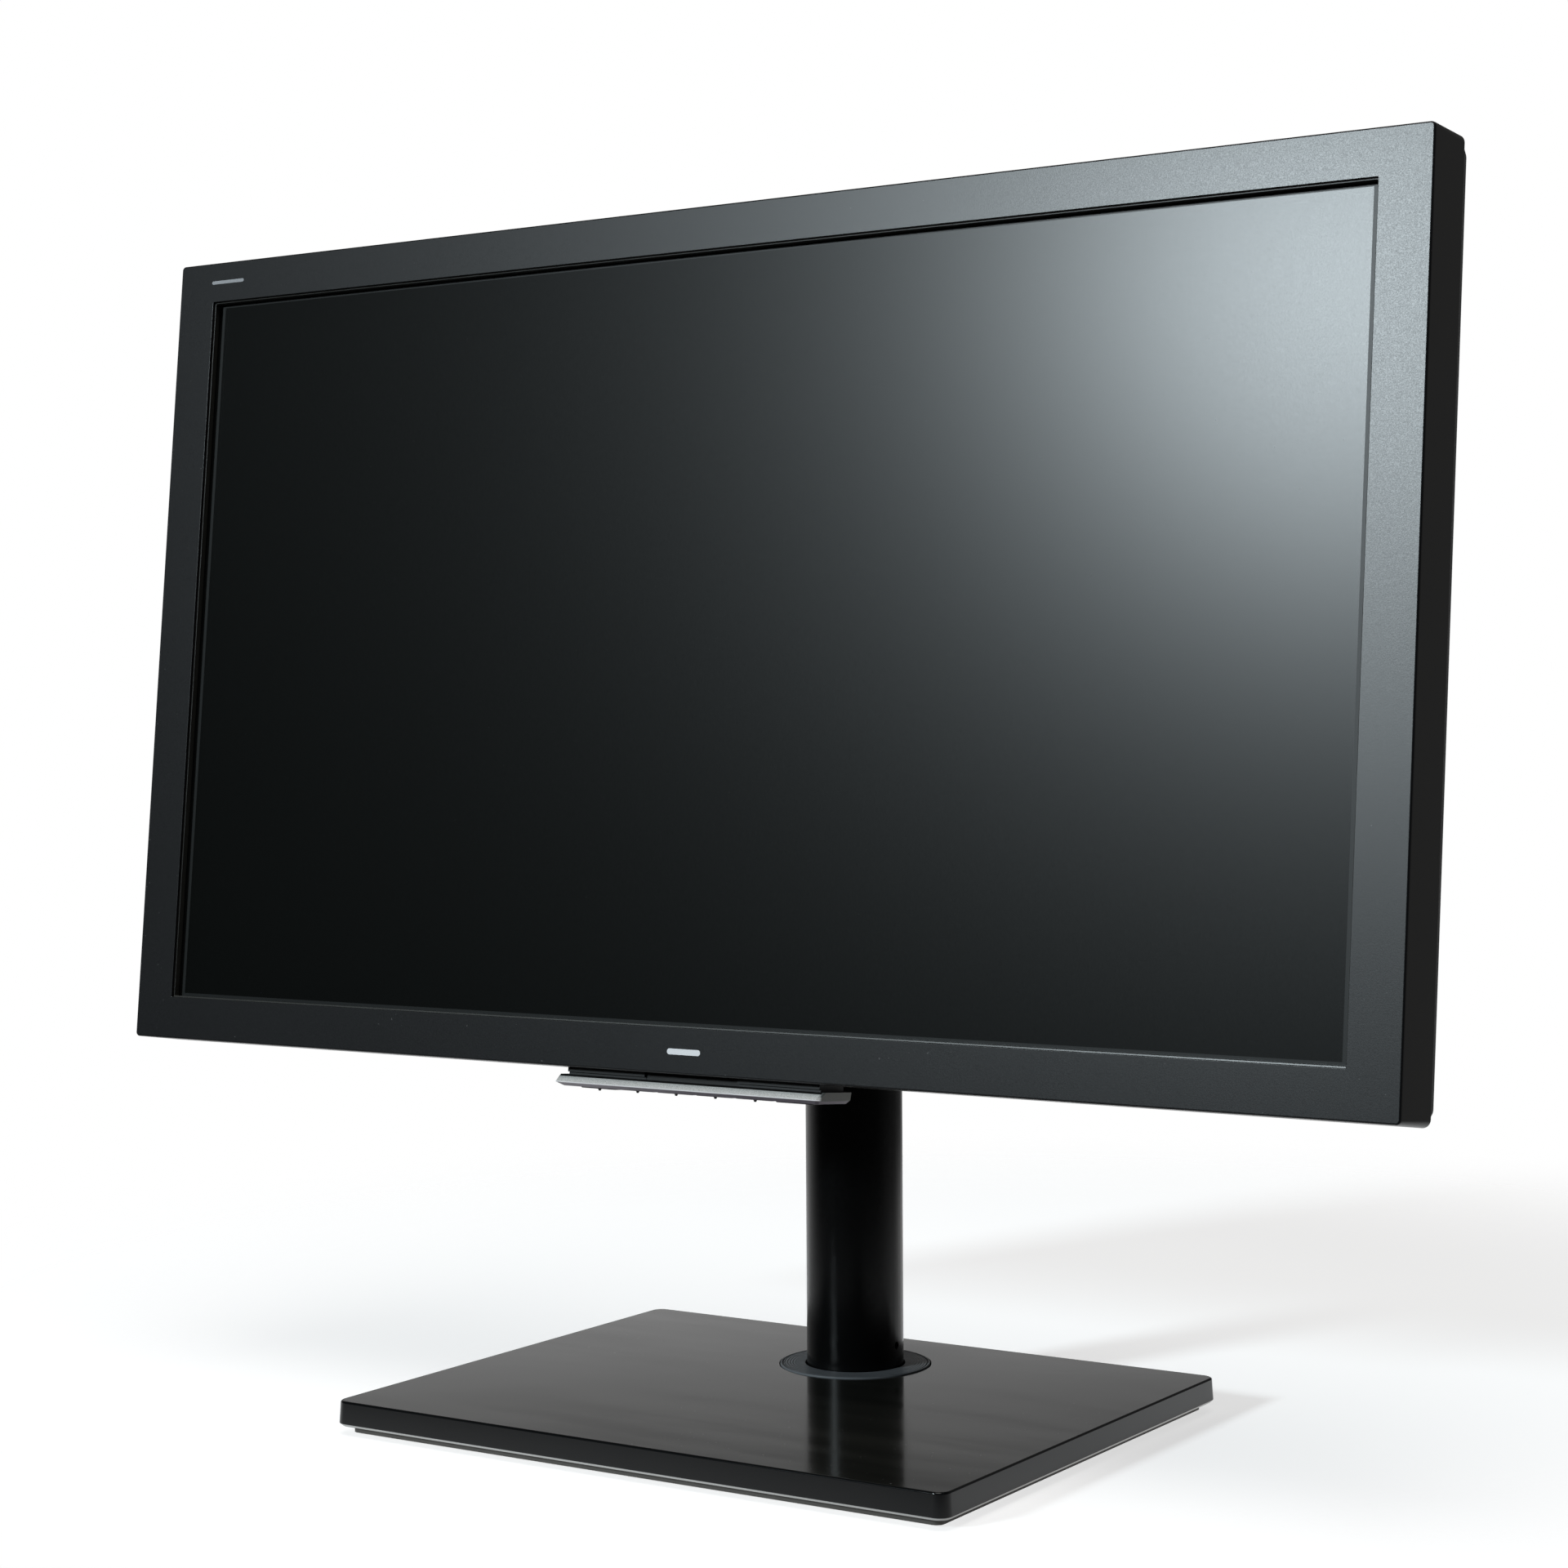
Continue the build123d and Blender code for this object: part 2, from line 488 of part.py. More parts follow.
with BuildPart(behind(BOARD_FRONT)) as main_board:
    with Locations((*MAIN_CENTRE, 0)):
        Box(*MAIN_BOARD, BOARD_THICKNESS, align=BACKWARDS)
    with Locations((MAIN_CENTRE[0], MAIN_CENTRE[1] + 18, -BOARD_THICKNESS)):
        Box(34, 34, 2.2, align=BACKWARDS)
    with Locations((MAIN_CENTRE[0] + 42, MAIN_CENTRE[1] - 34, -BOARD_THICKNESS)):
        Box(20, 20, 1.6, align=BACKWARDS)
    with Locations((MAIN_CENTRE[0] - 52, MAIN_CENTRE[1] + 44, -BOARD_THICKNESS)):
        with GridLocations(13, 13, 3, 2):
            Cylinder(4, 9, align=BACKWARDS)
    with Locations((MAIN_CENTRE[0] - 20, MAIN_CENTRE[1] - 40, -BOARD_THICKNESS)):
        Box(70, 6, 5, align=BACKWARDS)
        with GridLocations(16, 0, 4, 1):
            with Locations((0, -14, 0)):
                Box(11, 12, 1.1, align=BACKWARDS)
main_board.part.label = "main_board"
export_step(main_board.part, "parts/main_board.step")

FIN_COUNT = 9

with BuildPart(behind(BOARD_BACK + 2.2)) as heat_sink:
    with Locations((MAIN_CENTRE[0], MAIN_CENTRE[1] + 18, 0)):
        Box(50, 50, 3, align=BACKWARDS)
        with GridLocations(5.8, 0, FIN_COUNT, 1):
            Box(1.4, 50, 13, align=BACKWARDS)
heat_sink.part.label = "heat_sink"
export_step(heat_sink.part, "parts/heat_sink.step")

with BuildPart(behind(BOARD_FRONT)) as power_board:
    with Locations((*POWER_CENTRE, 0)):
        Box(*POWER_BOARD, BOARD_THICKNESS, align=BACKWARDS)
    with Locations((POWER_CENTRE[0] + 6, POWER_CENTRE[1] + 10, -BOARD_THICKNESS)):
        Box(34, 30, 18, align=BACKWARDS)
    with Locations((POWER_CENTRE[0] + 40, POWER_CENTRE[1] - 34, -BOARD_THICKNESS)):
        Cylinder(11, 19, align=BACKWARDS)
    with Locations((POWER_CENTRE[0] - 36, POWER_CENTRE[1] - 4, -BOARD_THICKNESS)):
        with GridLocations(0, 24, 1, 4):
            Cylinder(5, 14, align=BACKWARDS)
power_board.part.label = "power_board"
export_step(power_board.part, "parts/power_board.step")

with BuildPart(behind(CHASSIS_BACK)) as shield_box:
    with Locations((*SHIELD_CENTRE, 0)):
        Box(*SHIELD_SIZE, SHIELD_BACK - CHASSIS_BACK, align=BACKWARDS)
        Box(SHIELD_SIZE[0] - 2, SHIELD_SIZE[1] - 2, SHIELD_BACK - CHASSIS_BACK - 1, align=BACKWARDS,
            mode=Mode.SUBTRACT)
    with BuildSketch(behind(SHIELD_BACK)):
        with Locations((SHIELD_CENTRE[0], SHIELD_CENTRE[1] + 66)):
            with GridLocations(20, 0, 13, 1):
                SlotOverall(14, 4)
    extrude(amount=3, mode=Mode.SUBTRACT)
shield_box.part.label = "shield_box"
export_step(shield_box.part, "parts/shield_box.step")

# The stand mount is a folded steel channel on the shield. It backs the rear cover.
MOUNT_FRONT = 53.6
MOUNT_BACK = COVER_DEPTH - COVER_WALL
VESA_PITCH = 100.0
VESA_HOLE_RADIUS = 2.0
BRACKET_PITCH = 64.0
BRACKET_SCREW_RADIUS = 2.0

with BuildPart(behind(MOUNT_FRONT)) as stand_mount:
    Box(120, 124, MOUNT_BACK - MOUNT_FRONT, align=BACKWARDS)
    with GridLocations(118.5, 0, 2, 1):
        Box(1.5, 124, MOUNT_FRONT - SHIELD_BACK, align=UPWARDS)
    with GridLocations(VESA_PITCH, VESA_PITCH, 2, 2):
        Cylinder(VESA_HOLE_RADIUS, 10, mode=Mode.SUBTRACT)
    with GridLocations(BRACKET_PITCH, BRACKET_PITCH, 2, 2):
        Cylinder(BRACKET_SCREW_RADIUS, 10, mode=Mode.SUBTRACT)
stand_mount.part.label = "stand_mount"
export_step(stand_mount.part, "parts/stand_mount.step")

# ==== head: sockets in the recess under the plateau ==============================================
RECESS_HALF = 112.0
RECESS_CEILING = -95.0
RECESS_FLOOR = 36.0
SOCKET_BOARD_FRONT = 36.8
SOCKET_BOARD_BACK = 38.4
SOCKET_GAP = 0.3
INLET_X = 84.0
INLET_DEPTH = 46.2            # middle of the inlet, behind the front face
INLET_BODY = (27.4, 18.6)
NETWORK_X = -52.0
NETWORK_BODY = (15.8, 13.4)
USB_X = -80.0
USB_BODY = (14.6, 15.6)
DIGITAL_X = -16.0
DIGITAL_BODY = (37.0, 11.0)
ANALOGUE_X = 24.0
ANALOGUE_BODY = (31.0, 11.0)
AUDIO_X = 54.0
AUDIO_BODY = (22.0, 11.6)


def on_board(x, body):
    """Middle of a socket that stands on the socket board."""
    return (x, SOCKET_BOARD_BACK + body[1] / 2, 0)


BOARD_SOCKETS = [(on_board(x, body), body) for x, body in (
    (NETWORK_X, NETWORK_BODY), (USB_X, USB_BODY), (DIGITAL_X, DIGITAL_BODY),
    (ANALOGUE_X, ANALOGUE_BODY), (AUDIO_X, AUDIO_BODY))]

with BuildPart(behind(SOCKET_BOARD_FRONT)) as socket_board:
    with Locations((-14, RECESS_CEILING + 13.6, 0)):
        Box(168, 18, SOCKET_BOARD_BACK - SOCKET_BOARD_FRONT, align=BACKWARDS)
socket_board.part.label = "socket_board"
export_step(socket_board.part, "parts/socket_board.step")

with BuildPart(level(RECESS_CEILING + COVER_WALL + 0.1)) as socket_bracket:
    with Locations((-14, 47, 0)):
        Box(167, 15.6, 0.8, align=UPWARDS)
    for middle, (width, depth) in BOARD_SOCKETS:
        with Locations(middle):
            Box(width + 2 * SOCKET_GAP, depth + 2 * SOCKET_GAP, 5, mode=Mode.SUBTRACT)
socket_bracket.part.label = "socket_bracket"
export_step(socket_bracket.part, "parts/socket_bracket.step")

# Mains inlet with three flat pins. Its mouth faces down.
INLET_CAVITY = (23.4, 15.4)
INLET_LENGTH = 22.0
INLET_BORE = 17.0
PIN_TIP = 8.0

with BuildPart(level(RECESS_CEILING)) as power_inlet:
    with Locations((INLET_X, INLET_DEPTH, 0)):
        Box(*INLET_BODY, INLET_LENGTH, align=UPWARDS)
        Box(*INLET_CAVITY, INLET_BORE, align=UPWARDS, mode=Mode.SUBTRACT)
power_inlet.part.label = "power_inlet"
export_step(power_inlet.part, "parts/power_inlet.step")

with BuildPart(level(RECESS_CEILING + PIN_TIP)) as inlet_pins:
    with Locations((INLET_X - 7, INLET_DEPTH + 1.5, 0), (INLET_X + 7, INLET_DEPTH + 1.5, 0),
                   (INLET_X, INLET_DEPTH - 2.5, 0)):
        Box(2, 4, INLET_BORE - PIN_TIP, align=UPWARDS)
inlet_pins.part.label = "inlet_pins"
export_step(inlet_pins.part, "parts/inlet_pins.step")

with BuildPart(level(RECESS_CEILING)) as network_socket:
    with Locations(on_board(NETWORK_X, NETWORK_BODY)):
        Box(*NETWORK_BODY, 18, align=UPWARDS)
        with Locations((0, -0.9, 0)):
            Box(11.8, 8.2, 13, align=UPWARDS, mode=Mode.SUBTRACT)
        with Locations((0, 3.6, 0)):
            Box(5.6, 3.4, 9, align=UPWARDS, mode=Mode.SUBTRACT)
network_socket.part.label = "network_socket"
export_step(network_socket.part, "parts/network_socket.step")

with BuildPart(level(RECESS_CEILING)) as usb_sockets:
    with Locations(on_board(USB_X, USB_BODY)):
        Box(*USB_BODY, 17, align=UPWARDS)
        with GridLocations(0, 7.4, 1, 2):
            Box(12.4, 5.0, 11, align=UPWARDS, mode=Mode.SUBTRACT)
            with Locations((0, 1.3, 0.8)):
                Box(11, 1.9, 10.2, align=UPWARDS)
usb_sockets.part.label = "usb_sockets"
export_step(usb_sockets.part, "parts/usb_sockets.step")

# Two video sockets, each a block of contact holes with a threaded jack on either side.
video_depth = SOCKET_BOARD_BACK + DIGITAL_BODY[1] / 2

with BuildPart(level(RECESS_CEILING)) as video_sockets:
    with Locations(on_board(DIGITAL_X, DIGITAL_BODY)):
        Box(*DIGITAL_BODY, 14, align=UPWARDS)
    with Locations(on_board(ANALOGUE_X, ANALOGUE_BODY)):
        Box(*ANALOGUE_BODY, 14, align=UPWARDS)
    with BuildSketch(level(RECESS_CEILING)):
        with Locations((DIGITAL_X, video_depth)):
            with GridLocations(1.9, 1.9, 8, 3):
                Circle(0.5)
        with Locations((ANALOGUE_X, video_depth)):
            with GridLocations(2.29, 1.98, 5, 3):
                Circle(0.5)
    extrude(amount=4, mode=Mode.SUBTRACT)
video_sockets.part.label = "video_sockets"
export_step(video_sockets.part, "parts/video_sockets.step")

with BuildPart(level(RECESS_CEILING)) as jack_screws:
    with Locations((DIGITAL_X - 15.4, video_depth, 0), (DIGITAL_X + 15.4, video_depth, 0),
                   (ANALOGUE_X - 12.5, video_depth, 0), (ANALOGUE_X + 12.5, video_depth, 0)):
        Cylinder(2.4, 4, align=DOWNWARDS)
        Cylinder(1.3, 8, mode=Mode.SUBTRACT)
jack_screws.part.label = "jack_screws"
export_step(jack_screws.part, "parts/jack_screws.step")

with BuildPart(level(RECESS_CEILING)) as audio_sockets:
    with Locations(on_board(AUDIO_X, AUDIO_BODY)):
        Box(*AUDIO_BODY, 13, align=UPWARDS)
        with GridLocations(11, 0, 2, 1):
            Cylinder(1.8, 11, align=UPWARDS, mode=Mode.SUBTRACT)
audio_sockets.part.label = "audio_sockets"
export_step(audio_sockets.part, "parts/audio_sockets.step")


# ==== head: rear cover ===========================================================================
def cover_form(wall):
    """Solid form of the rear cover, shrunk inwards by wall, with the socket recess cut out."""
    with BuildPart() as edge_band:
        with BuildSketch(behind(RIM_DEPTH)):
            RectangleRounded(563.3 - 2 * wall, 329.8 - 2 * wall, 3)
        with BuildSketch(behind(COVER_EDGE)):
            RectangleRounded(560.5 - 2 * wall, 327 - 2 * wall, 4)
        loft(ruled=True)
    with BuildPart() as slope:
        with BuildSketch(behind(COVER_EDGE)):
            RectangleRounded(560.5 - 2 * wall, 327 - 2 * wall, 4)
        with BuildSketch(behind(COVER_DEPTH - wall)):
            RectangleRounded(PLATEAU_WIDTH - 2 * wall, PLATEAU_HEIGHT - 2 * wall, 18)
        loft(ruled=True)
    with BuildPart() as form:
        add(edge_band.part)
        add(slope.part)
        with BuildSketch(behind(RECESS_FLOOR - wall)):
            with Locations((0, RECESS_CEILING + wall)):
                Rectangle(2 * (RECESS_HALF + wall), 90, align=(Align.CENTER, Align.MAX))
        extrude(amount=-COVER_DEPTH, mode=Mode.SUBTRACT)
    return form.part


with BuildPart() as cover_outside:
    add(cover_form(0))
    plateau = cover_outside.faces().sort_by(Axis(HEAD_CENTRE, BACK))[-1]
    fillet(plateau.edges(), PLATEAU_ROUND)
cover_inside = cover_form(COVER_WALL)
COVER_SCREWS = [(-158, 88), (158, 88), (-158, -82), (158, -82)]
LOCK_SLOT = (132, -70)
VENT_ROWS = (124, 139)
VENT_COUNT = 39
VENT_PITCH = 9.2
VENT_SIZE = (11, 3)

with BuildPart() as rear_cover:
    add(cover_outside.part)
    add(cover_inside, mode=Mode.SUBTRACT)
    for row in VENT_ROWS:
        with BuildSketch(behind(COVER_DEPTH)):
            with Locations((0, row)):
                with GridLocations(VENT_PITCH, 0, VENT_COUNT, 1):
                    SlotOverall(*VENT_SIZE, rotation=90)
        extrude(amount=COVER_DEPTH - CHASSIS_FRONT, mode=Mode.SUBTRACT)
    with BuildSketch(behind(COVER_DEPTH + 2)):
        with GridLocations(VESA_PITCH, VESA_PITCH, 2, 2):
            Circle(VESA_HOLE_RADIUS)
        with GridLocations(BRACKET_PITCH, BRACKET_PITCH, 2, 2):
            Circle(BRACKET_SCREW_RADIUS)
        with Locations(*COVER_SCREWS):
            Circle(1.6)
        with Locations(LOCK_SLOT):
            SlotOverall(7, 3)
    extrude(amount=26, mode=Mode.SUBTRACT)
    for middle, (width, depth) in BOARD_SOCKETS + [((INLET_X, INLET_DEPTH, 0), INLET_BODY)]:
        with Locations(level(RECESS_CEILING)):
            with Locations(middle):
                Box(width + 2 * SOCKET_GAP, depth + 2 * SOCKET_GAP, 3 * COVER_WALL, mode=Mode.SUBTRACT)
rear_cover.part.label = "rear_cover"
export_step(rear_cover.part, "parts/rear_cover.step")

with BuildPart(behind(COVER_DEPTH)) as cover_screws:
    with Locations(*COVER_SCREWS):
        Cylinder(3, 1.4, align=BACKWARDS)
        Cylinder(1.5, 12, align=UPWARDS)
    with Locations(*[(x, y, -1.4) for x, y in COVER_SCREWS]):
        Box(3.6, 0.8, 1.4, mode=Mode.SUBTRACT)
        Box(0.8, 3.6, 1.4, mode=Mode.SUBTRACT)
cover_screws.part.label = "cover_screws"
export_step(cover_screws.part, "parts/cover_screws.step")

with BuildPart(behind(MOUNT_BACK - 1.6)) as lock_plate:
    with Locations((*LOCK_SLOT, 0)):
        Box(20, 14, 1.5, align=BACKWARDS)
        Box(7, 3, 5, mode=Mode.SUBTRACT)
lock_plate.part.label = "lock_plate"
export_step(lock_plate.part, "parts/lock_plate.step")

# ==== head: tilt bracket and its pin =============================================================
BRACKET_SIZE = 84.0
BRACKET_THICKNESS = 3.0
LUG_INSIDE = 22.0
LUG_THICKNESS = 6.0
LUG_RADIUS = 10.0

with BuildPart() as tilt_bracket:
    with BuildSketch(behind(COVER_DEPTH)):
        RectangleRounded(BRACKET_SIZE, BRACKET_SIZE, 6)
        with GridLocations(BRACKET_PITCH, BRACKET_PITCH, 2, 2):
            Circle(BRACKET_SCREW_RADIUS, mode=Mode.SUBTRACT)
    extrude(amount=-BRACKET_THICKNESS)
    for lug_start in (-LUG_INSIDE - LUG_THICKNESS, LUG_INSIDE):
        with BuildSketch(SIDE.offset(lug_start)):
            with Locations((HINGE_DEPTH, HINGE_RISE)):
                Circle(LUG_RADIUS)
            with Locations((COVER_DEPTH + BRACKET_THICKNESS / 2, 0)):
                Rectangle(BRACKET_THICKNESS, 52)
            make_hull()
        extrude(amount=LUG_THICKNESS)
    with Locations(HINGE):
        Cylinder(HINGE_PIN_RADIUS, 80, rotation=(0, 90, 0), mode=Mode.SUBTRACT)
tilt_bracket.part.label = "tilt_bracket"
export_step(tilt_bracket.part, "parts/tilt_bracket.step")

with BuildPart(behind(COVER_DEPTH + BRACKET_THICKNESS)) as bracket_screws:
    with GridLocations(BRACKET_PITCH, BRACKET_PITCH, 2, 2):
        Cylinder(3.6, 2.4, align=BACKWARDS)
        Cylinder(BRACKET_SCREW_RADIUS, COVER_DEPTH + BRACKET_THICKNESS - MOUNT_FRONT, align=UPWARDS)
    with Locations((0, 0, -2.4)):
        with GridLocations(BRACKET_PITCH, BRACKET_PITCH, 2, 2):
            Box(4.4, 0.9, 2, mode=Mode.SUBTRACT)
            Box(0.9, 4.4, 2, mode=Mode.SUBTRACT)
bracket_screws.part.label = "bracket_screws"
export_step(bracket_screws.part, "parts/bracket_screws.step")

# The pin is riveted over at both ends, so the washers stay squeezed and the tilt stays where it is put.
PIN_HEAD_RADIUS = 6.5
PIN_HEAD = 2.6
pin_half = LUG_INSIDE + LUG_THICKNESS

with BuildPart() as hinge_pin:
    with Locations(HINGE):
        Cylinder(HINGE_PIN_RADIUS, 2 * pin_half, rotation=(0, 90, 0))
    with Locations((-pin_half - PIN_HEAD / 2, *HINGE[1:]), (pin_half + PIN_HEAD / 2, *HINGE[1:])):
        Cylinder(PIN_HEAD_RADIUS, PIN_HEAD, rotation=(0, 90, 0))
    fillet(hinge_pin.faces().group_by(Axis.X)[0].edges(), 1)
    fillet(hinge_pin.faces().group_by(Axis.X)[-1].edges(), 1)
hinge_pin.part.label = "hinge_pin"
export_step(hinge_pin.part, "parts/hinge_pin.step")

WASHER_THICKNESS = 0.8
washer_offsets = [BLOCK_HALF + 0.1 + WASHER_THICKNESS / 2, LUG_INSIDE - 0.1 - WASHER_THICKNESS / 2]

with BuildPart() as friction_washers:
    with Locations(*[(side * offset, *HINGE[1:]) for side in (-1, 1) for offset in washer_offsets]):
        Cylinder(9, WASHER_THICKNESS, rotation=(0, 90, 0))
        Cylinder(HINGE_PIN_RADIUS, WASHER_THICKNESS, rotation=(0, 90, 0), mode=Mode.SUBTRACT)
friction_washers.part.label = "friction_washers"
export_step(friction_washers.part, "parts/friction_washers.step")

# ==== head: control bar under the front edge =====================================================
# Each section of the bar is a height from the middle of the head, half a width, and a front depth.
# The front face slants back from the nose up to the top, and the underside slants back below it.
BAR_TOP, BAR_NOSE, BAR_BOTTOM = -167.4, -170.3, -171.7
BAR_SECTIONS = [(BAR_TOP, 60.1, 4.0), (BAR_NOSE, 59.7, 0.2), (BAR_BOTTOM, 57.8, 3.2)]
BAR_BACK = 22.6
BAR_MITRE = 1.1
BAR_FLOOR = 1.0
FLANGE_HALF = 58.5
FLANGE_BACK = 24.5
FLANGE_THICKNESS = 1.6
CHANNEL_WIDTH = 111.0
CHANNEL_FRONT = 7.6
CHANNEL_BACK = 19.6

BUTTON_SIZE = (16.0, 5.6)
BUTTON_DEPTH = 11.3
BUTTON_GAP = 0.3
BUTTON_COLLAR = 0.4
COLLAR_HEIGHT = 0.7
PROUD_INNER = 0.4             # how far the caps stand out below the bar
PROUD_OUTER = 0.6
BUMP_HEIGHT = 0.7

channel_middle = (CHANNEL_FRONT + CHANNEL_BACK) / 2
channel_length = CHANNEL_BACK - CHANNEL_FRONT

with BuildPart() as control_bar:
    for pair in (BAR_SECTIONS[:2], BAR_SECTIONS[1:]):
        for height, half_width, front in pair:
            with BuildSketch(level(height)) as outline:
                with Locations((0, front)):
                    Rectangle(2 * half_width, BAR_BACK - front, align=(Align.CENTER, Align.MIN))
                chamfer(outline.vertices().group_by(Axis.Y)[0], BAR_MITRE)
        loft(ruled=True)
    with Locations(level(BAR_TOP)):
        with Locations((0, FLANGE_BACK, 0)):
            Box(2 * FLANGE_HALF, FLANGE_BACK - CHANNEL_BACK, FLANGE_THICKNESS,
                align=(Align.CENTER, Align.MAX, Align.MAX))
        with Locations((0, channel_middle, 0)):
            Box(CHANNEL_WIDTH, channel_length, BAR_TOP - BAR_BOTTOM - BAR_FLOOR, align=DOWNWARDS,
                mode=Mode.SUBTRACT)
        with Locations((0, BUTTON_DEPTH, 0)):
            with GridLocations(BUTTON_PITCH, 0, BUTTON_COUNT, 1):
                Box(BUTTON_SIZE[0] + 2 * BUTTON_GAP, BUTTON_SIZE[1] + 2 * BUTTON_GAP, 20,
                    mode=Mode.SUBTRACT)
control_bar.part.label = "control_bar"
export_step(control_bar.part, "parts/control_bar.step")

NECK_WIDTH = 114.0
NECK_FRONT = 5.4
NECK_BACK = 22.0
NECK_STEP = 1.0               # the dark gap over the bar
NECK_GAP_FRONT = 6.4
NECK_CEILING = -165.75
NECK_CLEARANCE = 0.02         # to the underside of the rim
MIDDLE_WIDTH = 42.0
MIDDLE_INSET = 1.2


def rim_underside(depth):
    """Height of the rim's sloping underside at a depth behind the front face."""
    return -HEAD_HEIGHT / 2 - RIM_SPREAD * depth / RIM_DEPTH


with BuildPart() as bar_neck:
    with BuildSketch(SIDE.offset(-NECK_WIDTH / 2)):
        with BuildLine():
            Polyline((NECK_FRONT, rim_underside(NECK_FRONT) - NECK_CLEARANCE),
                     (NECK_BACK, rim_underside(NECK_BACK) - NECK_CLEARANCE),
                     (NECK_BACK, BAR_TOP), (NECK_GAP_FRONT, BAR_TOP),
                     (NECK_GAP_FRONT, BAR_TOP + NECK_STEP), (NECK_FRONT, BAR_TOP + NECK_STEP),
                     close=True)
        make_face()
    extrude(amount=NECK_WIDTH)
    with Locations(level(BAR_TOP)):
        with Locations((0, channel_middle, 0)):
            Box(CHANNEL_WIDTH - 5, channel_length - 1, NECK_CEILING - BAR_TOP, align=UPWARDS,
                mode=Mode.SUBTRACT)
        with Locations((0, NECK_FRONT, 0)):
            Box(MIDDLE_WIDTH, 2 * MIDDLE_INSET, 20, mode=Mode.SUBTRACT)
bar_neck.part.label = "bar_neck"
export_step(bar_neck.part, "parts/bar_neck.step")

KEY_BOARD_THICKNESS = 0.8
SWITCH_HEIGHT = 0.7

with BuildPart(level(NECK_CEILING)) as key_board:
    with Locations((0, channel_middle, 0)):
        Box(CHANNEL_WIDTH - 6, channel_length - 2, KEY_BOARD_THICKNESS, align=DOWNWARDS)
    with Locations((0, BUTTON_DEPTH, -KEY_BOARD_THICKNESS)):
        with GridLocations(BUTTON_PITCH, 0, BUTTON_COUNT, 1):
            Box(5, 5, SWITCH_HEIGHT, align=DOWNWARDS)
key_board.part.label = "key_board"
export_step(key_board.part, "parts/key_board.step")

# ==== buttons ====================================================================================
STEM_TOP = NECK_CEILING - KEY_BOARD_THICKNESS - SWITCH_HEIGHT - BUTTON_TRAVEL - 0.1
collar_bottom = BAR_BOTTOM + BAR_FLOOR + 0.1

for index in range(BUTTON_COUNT):
    button_x = (index - (BUTTON_COUNT - 1) / 2) * BUTTON_PITCH
    is_outer = index in (0, BUTTON_COUNT - 1)
    cap_bottom = BAR_BOTTOM - (PROUD_OUTER if is_outer else PROUD_INNER)
    with BuildPart(level(cap_bottom)) as button:
        with Locations((button_x, BUTTON_DEPTH, 0)):
            Box(*BUTTON_SIZE, collar_bottom - cap_bottom, align=UPWARDS)
            fillet(button.faces().sort_by(Axis(HEAD_CENTRE, UP))[0].edges(), 0.3)
        with Locations((button_x, BUTTON_DEPTH, collar_bottom - cap_bottom)):
            Box(BUTTON_SIZE[0] + 2 * BUTTON_COLLAR, BUTTON_SIZE[1] + 2 * BUTTON_COLLAR, COLLAR_HEIGHT,
                align=UPWARDS)
            Box(4, 4, STEM_TOP - collar_bottom, align=UPWARDS)
        if index < BUTTON_COUNT - 1:
            with Locations((button_x, BUTTON_DEPTH - 1.8, 0)):
                Cone(0.4, 0.7, BUMP_HEIGHT, align=DOWNWARDS)
    button.part.label = f"button_{index + 1}"
    export_step(button.part, f"parts/button_{index + 1}.step")
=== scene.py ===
from math import cos, pi, radians, sin

import bpy
import numpy as np
from mathutils import Euler, Matrix, Vector


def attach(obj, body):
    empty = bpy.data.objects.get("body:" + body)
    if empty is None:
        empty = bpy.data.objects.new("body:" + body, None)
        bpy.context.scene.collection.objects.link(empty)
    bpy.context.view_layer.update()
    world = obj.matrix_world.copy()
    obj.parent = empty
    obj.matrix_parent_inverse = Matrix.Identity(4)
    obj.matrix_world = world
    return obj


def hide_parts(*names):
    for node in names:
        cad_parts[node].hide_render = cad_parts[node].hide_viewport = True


# A desktop computer monitor: a flat panel in a textured black frame, on a telescoping round column
# over a polished slab base. Sizes are written in millimetres and times MM; the scene is in metres.
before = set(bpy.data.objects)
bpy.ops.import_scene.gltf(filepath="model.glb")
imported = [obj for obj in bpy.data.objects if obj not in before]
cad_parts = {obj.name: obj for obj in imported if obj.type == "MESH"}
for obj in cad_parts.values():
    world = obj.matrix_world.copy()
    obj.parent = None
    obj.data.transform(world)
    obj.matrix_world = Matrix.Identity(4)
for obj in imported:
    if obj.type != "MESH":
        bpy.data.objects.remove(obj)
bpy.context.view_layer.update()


# ---- base cover ---------------------------------------------------------------------------------
# The base cover is one moulding of polished black plastic. Its top edge is softly rounded, its sides
# lean in a little for the mould, and its lower chamfer is coloured as a pale band. Screws hold it from
# below.
MM = 0.001
BASE_HALF = (135.7, 108.0)
BASE_CORNER = 5.0
BASE_TOP, BASE_WAIST, BASE_FOOT = 13.3, 4.7, 3.5
TOP_THICKNESS = 2.4
WALL_INSET, CAVITY_CORNER = 4.5, 3.0
DRAFT = 0.45
FILLET = 0.8
SIDE_PARTS = 32                          # enough points on the outline to make the column's hole round
COLUMN_Y = 54.7
COVER_HOLE = 30.8


